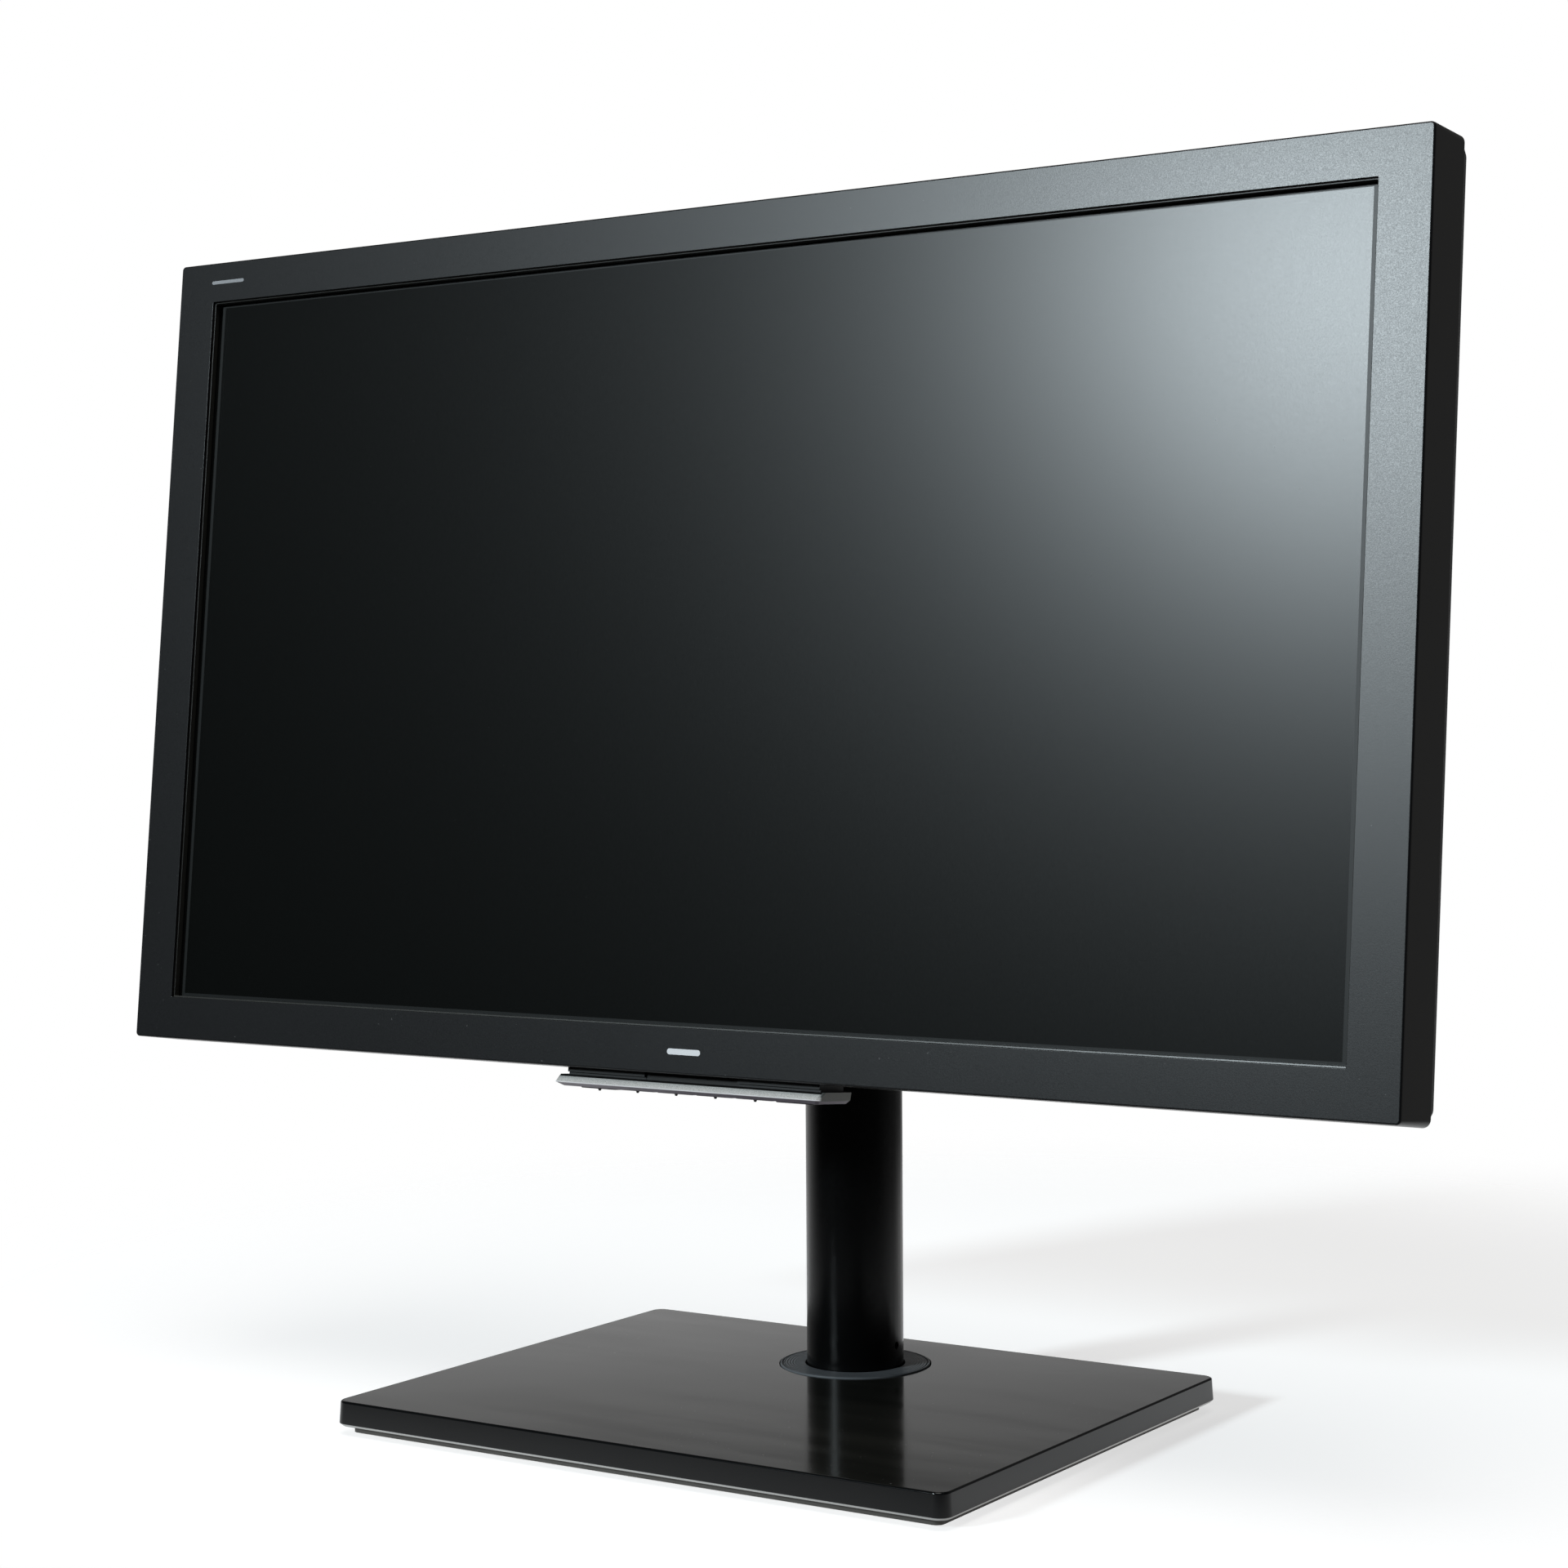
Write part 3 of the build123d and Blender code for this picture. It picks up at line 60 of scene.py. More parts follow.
class Wire:
    """One output socket of a shader tree. Arithmetic on it adds Math nodes, and node() adds any other."""

    def __init__(self, tree, socket=None):
        self.tree, self.socket = tree, socket

    def node(self, kind, settings=None, inputs=None, output=0):
        """Adds a node of this kind: its settings first, then its sockets' values or links."""
        made = self.tree.nodes.new("ShaderNode" + kind)
        for name, value in (settings or {}).items():
            setattr(made, name, value)
        for name, value in (inputs or {}).items():
            if isinstance(value, Wire):
                self.tree.links.new(value.socket, made.inputs[name])
            else:
                made.inputs[name].default_value = value
        return Wire(self.tree, made.outputs[output])

    def math(self, operation, *values):
        return self.node("Math", {"operation": operation}, dict(enumerate(values)))

    def __add__(self, other):
        return self.math("ADD", self, other)

    def __sub__(self, other):
        return self.math("SUBTRACT", self, other)

    def __rsub__(self, other):
        return self.math("SUBTRACT", other, self)

    def __mul__(self, other):
        return self.math("MULTIPLY", self, other)

    def __pow__(self, other):
        return self.math("POWER", self, other)

    __radd__, __rmul__ = __add__, __mul__

    def absolute(self):
        return self.math("ABSOLUTE", self)

    def axes(self):
        """The x, y and z of a vector."""
        return [self.node("SeparateXYZ", None, {0: self}, axis) for axis in range(3)]

    def ramp(self, low, high, start=0.0, end=1.0):
        """Start below low, end above high, and an S-shaped rise between them."""
        return self.node("MapRange", {"interpolation_type": "SMOOTHSTEP"},
                         {0: self, 1: low, 2: high, 3: start, 4: end})

    def noise(self, scale, detail=2.0, roughness=0.5):
        return self.node("TexNoise", None,
                         {"Vector": self, "Scale": scale, "Detail": detail, "Roughness": roughness})

    def tint(self, dark, light):
        """This value from 0 to 1 as a colour between two others."""
        return self.mix(self, dark, light)

    def mix(self, share, first, second):
        """The first colour where the share is 0 and the second where it is 1."""
        first, second = (c if isinstance(c, Wire) else (*c, 1) for c in (first, second))
        return self.node("Mix", {"data_type": "RGBA"}, {0: share, 6: first, 7: second}, 2)

    def bump(self, strength, distance):
        return self.node("Bump", None, {"Height": self, "Strength": strength, "Distance": distance})


def finish(look):
    """A material named after its function, which gives the shader's values from Object coordinates."""
    material = bpy.data.materials.new(look.__name__)
    material.use_nodes = True
    tree = material.node_tree
    place = Wire(tree).node("TexCoord", output="Object")
    shader = tree.nodes["Principled BSDF"]
    for name, value in look(place).items():
        if isinstance(value, Wire):
            tree.links.new(value.socket, shader.inputs[name])
        elif isinstance(value, tuple):
            shader.inputs[name].default_value = (*value, 1.0)
        else:
            shader.inputs[name].default_value = value
    return material


def skin(name, loops, material, body, caps=False):
    """A mesh over closed loops of points: quads between each loop and the next. Without caps the last
    loop joins the first; with caps the two end loops are filled. It is turned so that it faces outwards."""
    loops = np.asarray(loops, float)
    rows, columns = loops.shape[:2]
    row = np.arange(rows - 1 if caps else rows)[:, None]
    column = np.arange(columns)[None, :]
    following, beside = (row + 1) % rows, (column + 1) % columns
    quads = np.stack([row * columns + column, row * columns + beside,
                      following * columns + beside, following * columns + column], -1).reshape(-1, 4)
    points = loops.reshape(-1, 3)
    a, b, c, d = (points[quads[:, i]] for i in range(4))
    middle = points.mean(0)
    volume = (np.einsum("ij,ij->", a - middle, np.cross(b - middle, c - middle))
              + np.einsum("ij,ij->", a - middle, np.cross(c - middle, d - middle)))
    faces = quads.tolist()
    if caps:
        faces += [list(range(columns))[::-1], list(range((rows - 1) * columns, rows * columns))]
    if volume < 0:
        faces = [face[::-1] for face in faces]
    mesh = bpy.data.meshes.new(name)
    mesh.from_pydata(points.tolist(), [], faces)
    mesh.polygons.foreach_set("use_smooth", np.ones(len(faces), bool))
    mesh.set_sharp_from_angle(angle=radians(35))
    mesh.materials.append(material)
    piece = bpy.data.objects.new(name, mesh)
    bpy.context.scene.collection.objects.link(piece)
    piece.modifiers.new("even_shading", "WEIGHTED_NORMAL").keep_sharp = True
    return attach(piece, body)


def coat(material, *nodes):
    """Gives CAD nodes a finish in place of the plain colour that they come with."""
    for node in nodes:
        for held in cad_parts[node].material_slots:
            held.material = material


def rounded_rectangle(half_width, half_height, radius, steps=8, parts=1):
    """The outline's points, anticlockwise from the right: in each corner, the corner's centre plus the
    radius turned through a quarter circle, then the straight side to the next corner in equal parts."""
    turn = np.arange(4)[:, None] * pi / 2 + np.linspace(0, pi / 2, steps + 1)
    quadrants = np.array([(1, 1), (-1, 1), (-1, -1), (1, -1)])[:, None]
    centre = quadrants * (half_width - radius, half_height - radius)
    corners = centre + radius * np.stack([np.cos(turn), np.sin(turn)], -1)
    start, end = corners[:, -1:], np.roll(corners[:, :1], -1, axis=0)
    sides = start + (end - start) * np.linspace(0, 1, parts + 1)[1:-1, None]
    return np.concatenate([corners, sides], 1).reshape(-1, 2)


def quarter(radius, steps=5):
    """A rounded edge from its flat face to its side, as pairs: how far in from the side, and how far
    down from the face. Both follow a quarter circle, from (radius, 0) to (0, radius)."""
    angle = np.linspace(0, pi / 2, steps + 1)
    return np.stack([radius * (1 - np.sin(angle)), radius * (1 - np.cos(angle))], -1)


def base_gloss(place):
    """Black plastic polished on a wheel: soft long smears in the gloss, sparse dust, a pale band on the
    lower chamfer.
    """
    height = place.axes()[2]
    smears = place.node("Mapping", None, {0: place, 2: (0, 0, radians(28)), 3: (9, 60, 9)}).noise(1.0, 3.0)
    dust = (place.noise(900.0, 1.0).ramp(0.765, 0.80) * place.noise(14.0, 1.0).ramp(0.42, 0.62)
            * height.ramp((BASE_TOP - 0.1) * MM, (BASE_TOP - 0.05) * MM))
    band = ((1 - height.ramp((BASE_WAIST - 0.25) * MM, (BASE_WAIST - 0.1) * MM))
            * height.ramp((BASE_FOOT + 0.02) * MM, (BASE_FOOT + 0.12) * MM))
    top_face = height.ramp((BASE_TOP - 0.15) * MM, (BASE_TOP - 0.02) * MM)
    film = smears.ramp(0.25, 0.75).tint((0.012, 0.012, 0.0105), (0.020, 0.0197, 0.017))
    film = place.mix(top_face, (0.0035, 0.0038, 0.0042), film)
    return {"Base Color": place.mix(band, place.mix(dust, film, (0.16, 0.16, 0.15)), (0.42, 0.42, 0.41)),
            "Roughness": smears.ramp(0.3, 0.7, 0.085, 0.15) + band * 0.3 + dust * 0.5,
            "IOR": 1.41,
            "Normal": (place.noise(26.0, 2.0) + dust * 0.1).bump(0.02, 0.0008)}


base_gloss = finish(base_gloss)
outer = [(1.2, BASE_FOOT), (0.05, BASE_WAIST - 0.08), (0.0, BASE_WAIST + 0.05)]
outer += [(DRAFT + i, BASE_TOP - d) for i, d in quarter(FILLET)[::-1]]
inner = [(BASE_TOP, 0.3), (BASE_TOP - 0.1, 0.1), (BASE_TOP - 0.3, 0.0), (BASE_TOP - TOP_THICKNESS, 0.0)]
loops = []
for inset, height in outer:
    line = rounded_rectangle(BASE_HALF[0] - inset, BASE_HALF[1] - inset, BASE_CORNER - inset * 0.6,
                             parts=SIDE_PARTS)
    loops.append(np.column_stack([line, np.full(len(line), height)]))
centre = np.array([0, COLUMN_Y])
outwards = line - centre                 # from the column's axis towards each point of the outline
outwards /= np.linalg.norm(outwards, axis=1)[:, None]
for height, wider in inner:
    loops.append(np.column_stack([centre + outwards * (COVER_HOLE + wider), np.full(len(line), height)]))
line = rounded_rectangle(BASE_HALF[0] - WALL_INSET, BASE_HALF[1] - WALL_INSET, CAVITY_CORNER,
                         parts=SIDE_PARTS)
for height in (BASE_TOP - TOP_THICKNESS, BASE_FOOT):
    loops.append(np.column_stack([line, np.full(len(line), height)]))
base_shell = skin("base_shell", np.array(loops) * MM, base_gloss, "base")
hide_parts("base_cover")


# ---- plinth, weight, feet and screws ------------------------------------------------------------
# A steel plate gives the base its weight. The dark plinth closes the cover from below; it is moulded
# with a dull fine grain, and has four pressed-in rubber feet and four countersunk screws.
def plinth_dark(place):
    grain = place.noise(1400.0, 3.0)
    return {"Base Color": grain.tint((0.045, 0.041, 0.036), (0.062, 0.057, 0.050)),
            "Roughness": grain.ramp(0.3, 0.7, 0.45, 0.6), "Normal": grain.bump(0.25, 0.0001)}


def rubber_black(place):
    grain = place.noise(2200.0, 4.0)
    return {"Base Color": place.noise(90.0).tint((0.012, 0.012, 0.012), (0.030, 0.030, 0.029)),
            "Roughness": grain.ramp(0.2, 0.8, 0.62, 0.85), "Normal": grain.bump(0.35, 0.00008)}


def steel_bright(place):
    """Rolled and zinc-plated sheet: streaks along X and broad cloudy spangle."""
    streaks = place.node("Mapping", None, {0: place, 3: (25, 900, 900)}).noise(1.0, 3.0)
    cloud = place.noise(60.0, 3.0)
    return {"Base Color": cloud.tint((0.48, 0.50, 0.52), (0.66, 0.67, 0.68)), "Metallic": 1.0,
            "Roughness": streaks.ramp(0.3, 0.7, 0.24, 0.42), "Normal": streaks.bump(0.12, 0.00005)}


def steel_dark(place):
    scale = place.noise(320.0, 4.0)
    return {"Base Color": scale.tint((0.07, 0.07, 0.075), (0.14, 0.14, 0.145)), "Metallic": 1.0,
            "Roughness": scale.ramp(0.3, 0.7, 0.35, 0.55), "Normal": scale.bump(0.15, 0.00008)}


def screw_dark(place):
    worn = place.noise(700.0, 3.0)
    return {"Base Color": worn.tint((0.035, 0.035, 0.038), (0.12, 0.12, 0.125)), "Metallic": 1.0,
            "Roughness": worn.ramp(0.3, 0.7, 0.28, 0.45), "Normal": worn.bump(0.1, 0.00004)}


plinth_dark, rubber_black, steel_bright, steel_dark, screw_dark = map(
    finish, (plinth_dark, rubber_black, steel_bright, steel_dark, screw_dark))
coat(plinth_dark, "bottom_plate")
coat(rubber_black, "rubber_feet")
coat(screw_dark, "base_screws")
coat(steel_bright, "weight_plate", "stop_pin", "retaining_clip")


# ---- swivel bearing -----------------------------------------------------------------------------
# The column's steel spindle turns on a slippery plastic washer in the middle of the weight.
def bush_plastic(place):
    grain = place.noise(1100.0, 2.0)
    return {"Base Color": place.noise(50.0).tint((0.020, 0.020, 0.021), (0.034, 0.034, 0.035)),
            "Roughness": grain.ramp(0.3, 0.7, 0.38, 0.52), "Normal": grain.bump(0.1, 0.00005)}


bush_plastic = finish(bush_plastic)
coat(bush_plastic, "bearing_washer", "guide_bush", "slider_bush")
coat(steel_bright, "spindle")


# ---- trim disc ----------------------------------------------------------------------------------
# A turned black ring covers the bearing. Fine tool rings run round it, close together near the rim,
# and it stands half a millimetre out of the base with a narrow gap round the tube.
DISC_TOP, DISC_FOOT, DISC_RADIUS, DISC_HOLE = 13.8, 10.8, 30.4, 20.2
GROOVE_OUTER, GROOVE_INNER, GROOVE_DEPTH = 0.9, 1.3, 0.35    # the first two measured in from the rim
RING_PITCH = 1.1
RINGS_FADE = (23.5, 25.5)


def disc_dark(place):
    """Satin black with turning marks: a wave of the distance from the column's axis."""
    x, y = place.axes()[:2]
    radius = (x * x + (y - COLUMN_Y * MM) ** 2.0) ** 0.5
    rings = place.math("SINE", radius * (2 * pi / (RING_PITCH * MM)))
    edge = radius.ramp(RINGS_FADE[0] * MM, RINGS_FADE[1] * MM)
    return {"Base Color": place.noise(240.0).tint((0.110, 0.118, 0.126), (0.140, 0.150, 0.160)),
            "Roughness": place.noise(500.0, 3.0).ramp(0.3, 0.7, 0.46, 0.56), "Specular IOR Level": 0.22,
            "Normal": (rings * edge).bump(0.9, 0.00010)}


def lathe(section, steps):
    """A section of (radius, height) pairs carried round the column's axis."""
    turn = np.linspace(0, 2 * pi, steps, endpoint=False)
    radius, height = np.asarray(section, float).T
    return np.stack([radius[:, None] * np.cos(turn), COLUMN_Y + radius[:, None] * np.sin(turn),
                     np.repeat(height[:, None], steps, 1)], -1) * MM


disc_dark = finish(disc_dark)
section = [(DISC_HOLE, DISC_FOOT), (DISC_RADIUS, DISC_FOOT)]
section += [(DISC_RADIUS - i, DISC_TOP - d) for i, d in quarter(0.4)[::-1]]
section += [(DISC_RADIUS - inset, DISC_TOP - depth) for inset, depth in (
    (GROOVE_OUTER, 0), (GROOVE_OUTER + 0.05, GROOVE_DEPTH),
    (GROOVE_INNER - 0.05, GROOVE_DEPTH), (GROOVE_INNER, 0))]
section += [(DISC_HOLE + i, DISC_TOP - d) for i, d in quarter(0.35)]
trim_disc = skin("trim_disc", lathe(section, 128), disc_dark, "column")
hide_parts("swivel_disc")


# ---- column -------------------------------------------------------------------------------------
# The outer tube is steel with a satin black powder coat. A plastic collar guides the brushed inner
# tube, and a gas spring inside carries the head's weight.
def column_paint(place):
    """Powder coat: a faint orange-peel of small soft bumps."""
    peel = place.noise(420.0, 2.0)
    return {"Base Color": place.noise(60.0).tint((0.0018, 0.0019, 0.0020), (0.0030, 0.0031, 0.0032)),
            "Roughness": peel.ramp(0.3, 0.7, 0.20, 0.24), "Specular IOR Level": 0.17,
            "Normal": peel.bump(0.03, 0.00005)}


def tube_satin(place):
    """Steel tube ground along its length."""
    lines = place.node("Mapping", None, {0: place, 3: (1500, 1500, 30)}).noise(1.0, 3.0)
    return {"Base Color": lines.tint((0.30, 0.31, 0.32), (0.42, 0.43, 0.44)), "Metallic": 1.0,
            "Roughness": lines.ramp(0.3, 0.7, 0.2, 0.34), "Normal": lines.bump(0.1, 0.00004)}


def rod_chrome(place):
    film = place.noise(80.0, 2.0)
    return {"Base Color": film.tint((0.62, 0.63, 0.65), (0.74, 0.75, 0.76)), "Metallic": 1.0,
            "Roughness": film.ramp(0.3, 0.7, 0.07, 0.14)}


column_paint, tube_satin, rod_chrome = map(finish, (column_paint, tube_satin, rod_chrome))
coat(column_paint, "outer_tube")
coat(tube_satin, "inner_tube")
coat(rod_chrome, "spring_rod")
coat(steel_dark, "spring_cylinder")


# ---- hinge block --------------------------------------------------------------------------------
# A die-cast block grips the top of the inner tube and holds the tilt pin. It is painted black like
# the column, over the casting's slightly uneven skin, with a pressed-on cap and two clamp screws.
def cast_paint(place):
    skin_grain = place.noise(260.0, 4.0)
    return {"Base Color": place.noise(70.0).tint((0.0045, 0.0046, 0.0048), (0.008, 0.0081, 0.0083)),
            "Roughness": skin_grain.ramp(0.3, 0.7, 0.32, 0.46), "Normal": skin_grain.bump(0.22, 0.00018)}


def cap_plastic(place):
    grain = place.noise(1300.0, 3.0)
    return {"Base Color": grain.tint((0.010, 0.010, 0.011), (0.017, 0.017, 0.018)),
            "Roughness": grain.ramp(0.3, 0.7, 0.36, 0.5), "Normal": grain.bump(0.2, 0.00008)}


cast_paint, cap_plastic = map(finish, (cast_paint, cap_plastic))
coat(cast_paint, "hinge_block")
coat(cap_plastic, "hinge_cap")
coat(screw_dark, "clamp_screws")


# ---- front bezel --------------------------------------------------------------------------------
# The frame round the screen is a charcoal moulding with a fine spark-eroded texture. Its front edge
# is softened, its sides flare a little towards the seam, and a small step runs round the opening.
TILT = radians(5.7)
HEAD_CENTRE = np.array([0, -50.1, 306.3])
HEAD_HALF = (281.05, 164.3)
OPENING_HALF = (261.75, 147.25)
OPENING_RISE = 0.2
FRONT_CORNER = 1.7
RIM_DEPTH, RIM_SPREAD, RIM_WALL = 23.8, 1.3, 2.2
BORDER_DEPTH = 3.6
STEP_WIDTH, STEP_DEPTH = 0.6, 1.2        # the small step round the opening


def on_head(x, depth, rise):
    """Millimetres across, behind the front face and up the head, as points in the scene's frame."""
    x, depth, rise = np.broadcast_arrays(np.asarray(x, float), depth, rise)
    offset = np.stack([x, depth * cos(TILT) + rise * sin(TILT), rise * cos(TILT) - depth * sin(TILT)], -1)
    return (HEAD_CENTRE + offset) * MM


def head_axes(place):
    """Object coordinates turned into across, behind the front face, and up the head, in metres."""
    x, y, z = place.axes()
    y, z = y - HEAD_CENTRE[1] * MM, z - HEAD_CENTRE[2] * MM
    return x, y * cos(TILT) - z * sin(TILT), y * sin(TILT) + z * cos(TILT)


def bezel_plastic(place):
    """Charcoal with an eroded grain of about a third of a millimetre, and a few pale specks of dust. The
    sides are painted lighter and browner than the face: painted light, standing for warm light from the
    right."""
    grain = place.noise(2300.0, 3.0, 0.6)
    drift = place.noise(22.0, 2.0)
    dust = place.noise(760.0, 1.0).ramp(0.79, 0.82)
    depth = head_axes(place)[1]
    charcoal = drift.tint((0.0065, 0.0068, 0.0075), (0.0085, 0.0088, 0.0097))
    # Painted light: past about a millimetre behind the front face, the sides take a lighter, browner
    # colour.
    charcoal = place.mix(depth.ramp(0.9 * MM, 1.3 * MM), charcoal, (0.030, 0.030, 0.027))
    return {"Base Color": place.mix(dust * 0.5, charcoal, (0.12, 0.12, 0.12)),
            "Roughness": grain.ramp(0.25, 0.75, 0.28, 0.34), "Specular IOR Level": 0.34,
            "Normal": grain.bump(0.16, 0.00006)}


bezel_plastic = finish(bezel_plastic)
# Each row is a loop of the section: how much wider than the opening or the head it is, the radius of its
# corners, and its depth.
opening_rows = [(-STEP_WIDTH, 0.3, BORDER_DEPTH), (-STEP_WIDTH, 0.3, STEP_DEPTH + 0.25),
                (0.08 - STEP_WIDTH, 0.3, STEP_DEPTH + 0.05), (-0.08, 0.4, STEP_DEPTH),
                (0, 0.4, STEP_DEPTH - 0.1), (0, 0.4, 0.25), (0.03, 0.43, 0.13), (0.1, 0.5, 0.04),
                (0.22, 0.62, 0)]
head_rows = [(-inset, max(FRONT_CORNER - inset, 0.4), depth) for inset, depth in quarter(0.7, 6)]
for depth in (1.5, RIM_DEPTH - 1.0, RIM_DEPTH - 0.3):
    flare = RIM_SPREAD * depth / RIM_DEPTH
    head_rows.append((flare, FRONT_CORNER + flare, depth))
head_rows += [(1.05, 2.5, RIM_DEPTH), (-RIM_WALL, 1.0, RIM_DEPTH), (-RIM_WALL, 1.0, BORDER_DEPTH)]
loops = []
for half, rows, lift in ((OPENING_HALF, opening_rows, OPENING_RISE), (HEAD_HALF, head_rows, 0.0)):
    for wider, corner, depth in rows:
        line = rounded_rectangle(half[0] + wider, half[1] + wider, corner)
        loops.append(on_head(line[:, 0], depth, line[:, 1] + lift))
bezel = skin("bezel", loops, bezel_plastic, "head")
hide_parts("front_bezel")


# ---- printed marks ------------------------------------------------------------------------------
# Two plain pad-printed marks, with no lettering: a white bar in the middle of the lower border, and a
# small grey one near the upper left corner.
def ink_white(place):
    return {"Base Color": place.noise(3000.0, 2.0).tint((0.72, 0.73, 0.76), (0.86, 0.86, 0.88)),
            "Roughness": place.noise(800.0).ramp(0.3, 0.7, 0.4, 0.5)}


def ink_grey(place):
    return {"Base Color": place.noise(3000.0, 2.0).tint((0.26, 0.27, 0.29), (0.34, 0.35, 0.37)),
            "Roughness": place.noise(800.0).ramp(0.3, 0.7, 0.4, 0.5)}


def printed_bar(name, across, rise, half_length, half_width, material):
    """A flat bar with round ends, a few hundredths of a millimetre of ink on the bezel's face."""
    line = rounded_rectangle(half_length, half_width, half_width * 0.98)
    loops = [on_head(line[:, 0] + across, depth, line[:, 1] + rise) for depth in (0.05, -0.02, -0.03)]
    return skin(name, loops, material, "head", caps=True)


printed_bar("mark_middle", 0.0, -156.0, 7.5, 1.1, finish(ink_white))
printed_bar("mark_corner", -254.0, 155.8, 9.0, 0.7, finish(ink_grey))


# ---- panel module -------------------------------------------------------------------------------
# The screen is a glass cell with a matt film bonded on its face, clipped in by a thin black frame. Its
# border shows round the picture area. Behind it the films, light guide and lamps lie in a steel tray.
PANEL_HALF = (265.0, 151.0)
PANEL_FACE, PANEL_BACK = 4.5, 6.0
PICTURE_HALF = (258.6, 145.4)
EASED = 0.15                             # how far the glass's sharp edges are taken off
LAMP_PITCH, LENS_HALF = 10.8, 1.9


def screen_film(place):
    """Matt film over black: very fine haze, a slightly paler border outside the picture area."""
    across, _, rise = head_axes(place)
    side, height = across.absolute(), (rise - OPENING_RISE * MM).absolute()
    outside = [distance.ramp((edge - 0.1) * MM, (edge + 0.1) * MM)
               for distance, edge in zip((side, height), PICTURE_HALF)]
    border = place.math("MAXIMUM", *outside)
    haze = place.noise(3200.0, 2.0)
    dust = place.noise(640.0, 1.0).ramp(0.80, 0.83)
    colour = (border * 0.55 + dust * 0.4).tint((0.0012, 0.0017, 0.0014), (0.016, 0.018, 0.018))
    return {"Base Color": colour, "Roughness": haze.ramp(0.3, 0.7, 0.235, 0.26) + border * 0.12,
            "Specular IOR Level": 0.196, "Normal": haze.bump(0.03, 0.00003)}


def film_white(place):
    return {"Base Color": place.noise(500.0).tint((0.80, 0.80, 0.79), (0.88, 0.88, 0.87)),
            "Roughness": place.noise(900.0).ramp(0.3, 0.7, 0.5, 0.65)}


def guide_clear(place):
    """Acrylic sheet with a printed grid of dots on its back."""
    dots = place.node("TexVoronoi", None, {"Vector": place, "Scale": 700.0, "Randomness": 0.1})
    return {"Base Color": dots.ramp(0.2, 0.35).tint((0.95, 0.95, 0.94), (0.78, 0.82, 0.81)),
            "Roughness": dots.ramp(0.2, 0.35, 0.35, 0.05), "IOR": 1.49}


def lamp_white(place):
    """White strip: yellow phosphor windows on a white body, repeated along X."""
    half_pitch = LAMP_PITCH / 2
    from_gap = place.math("PINGPONG", place.axes()[0] + half_pitch * MM, half_pitch * MM)
    lens = from_gap.ramp((half_pitch - LENS_HALF - 0.1) * MM, (half_pitch - LENS_HALF + 0.1) * MM)
    return {"Base Color": lens.tint((0.82, 0.82, 0.80), (0.85, 0.70, 0.22)),
            "Roughness": place.noise(400.0).ramp(0.3, 0.7, 0.35, 0.5)}


def board_green(place):
    """Solder mask over copper: straight tracks show as paler lines, with tinned dots between them."""
    blocks = place.node("TexVoronoi", {"distance": "MANHATTAN"}, {"Vector": place, "Scale": 260.0})
    tracks = place.node("TexBrick", {"offset": 0.37},
                        {"Vector": place, "Scale": 120.0, "Mortar Size": 0.035,
                         "Color1": (0, 0, 0, 1), "Color2": (0, 0, 0, 1), "Mortar": (1, 1, 1, 1)})
    return {"Base Color": tracks.tint((0.012, 0.070, 0.030), (0.030, 0.150, 0.062)),
            "Roughness": blocks.ramp(0.1, 0.5, 0.24, 0.42), "Metallic": (1 - blocks.ramp(0.05, 0.08)) * 0.7,
            "Normal": tracks.bump(0.2, 0.00005)}


screen_film, film_white, guide_clear, lamp_white, board_green = map(
    finish, (screen_film, film_white, guide_clear, lamp_white, board_green))
loops = []
for inset, depth in ((EASED, PANEL_BACK), (0, PANEL_BACK - EASED),
                     (0, PANEL_FACE + EASED), (EASED, PANEL_FACE)):
    line = rounded_rectangle(PANEL_HALF[0] - inset, PANEL_HALF[1] - inset, 0.5, steps=3)
    loops.append(on_head(line[:, 0], depth, line[:, 1] + OPENING_RISE))
screen = skin("screen", loops, screen_film, "head", caps=True)
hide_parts("lcd_cell")
coat(film_white, "diffuser_films", "reflector_sheet")
coat(guide_clear, "light_guide")
coat(lamp_white, "lamp_strip")
coat(bush_plastic, "panel_frame")
coat(steel_bright, "panel_tray")
coat(board_green, "panel_board")


# ---- chassis and boards -------------------------------------------------------------------------
# A stamped zinc-plated plate carries the main board, the power board under its shield, and the steel
# block that the stand bolts to.
def nickel(place):
    film = place.noise(900.0, 2.0)
    return {"Base Color": film.tint((0.56, 0.55, 0.51), (0.68, 0.67, 0.63)), "Metallic": 1.0,
            "Roughness": film.ramp(0.3, 0.7, 0.18, 0.3)}


def heat_sink_metal(place):
    lines = place.node("Mapping", None, {0: place, 3: (60, 1200, 1200)}).noise(1.0, 2.0)
    return {"Base Color": lines.tint((0.50, 0.51, 0.52), (0.62, 0.63, 0.64)), "Metallic": 1.0,
            "Roughness": lines.ramp(0.3, 0.7, 0.3, 0.45), "Normal": lines.bump(0.1, 0.00005)}


nickel, heat_sink_metal = map(finish, (nickel, heat_sink_metal))
coat(steel_bright, "chassis_plate", "shield_box", "stand_mount")
coat(nickel, "board_posts")
coat(board_green, "main_board", "power_board")
coat(heat_sink_metal, "heat_sink")


# ---- sockets ------------------------------------------------------------------------------------
# The sockets stand on their own board in the recess under the back and face down: mains, network,
# USB, two video sockets with jack screws, and two audio jacks, behind a steel bracket.
def socket_black(place):
    grain = place.noise(1500.0, 2.0)
    return {"Base Color": grain.tint((0.010, 0.010, 0.011), (0.018, 0.018, 0.019)),
            "Roughness": grain.ramp(0.3, 0.7, 0.34, 0.46), "Normal": grain.bump(0.12, 0.00005)}


def socket_blue(place):
    grain = place.noise(1500.0, 2.0)
    return {"Base Color": grain.tint((0.010, 0.045, 0.22), (0.014, 0.060, 0.28)),
            "Roughness": grain.ramp(0.3, 0.7, 0.34, 0.46), "Normal": grain.bump(0.12, 0.00005)}


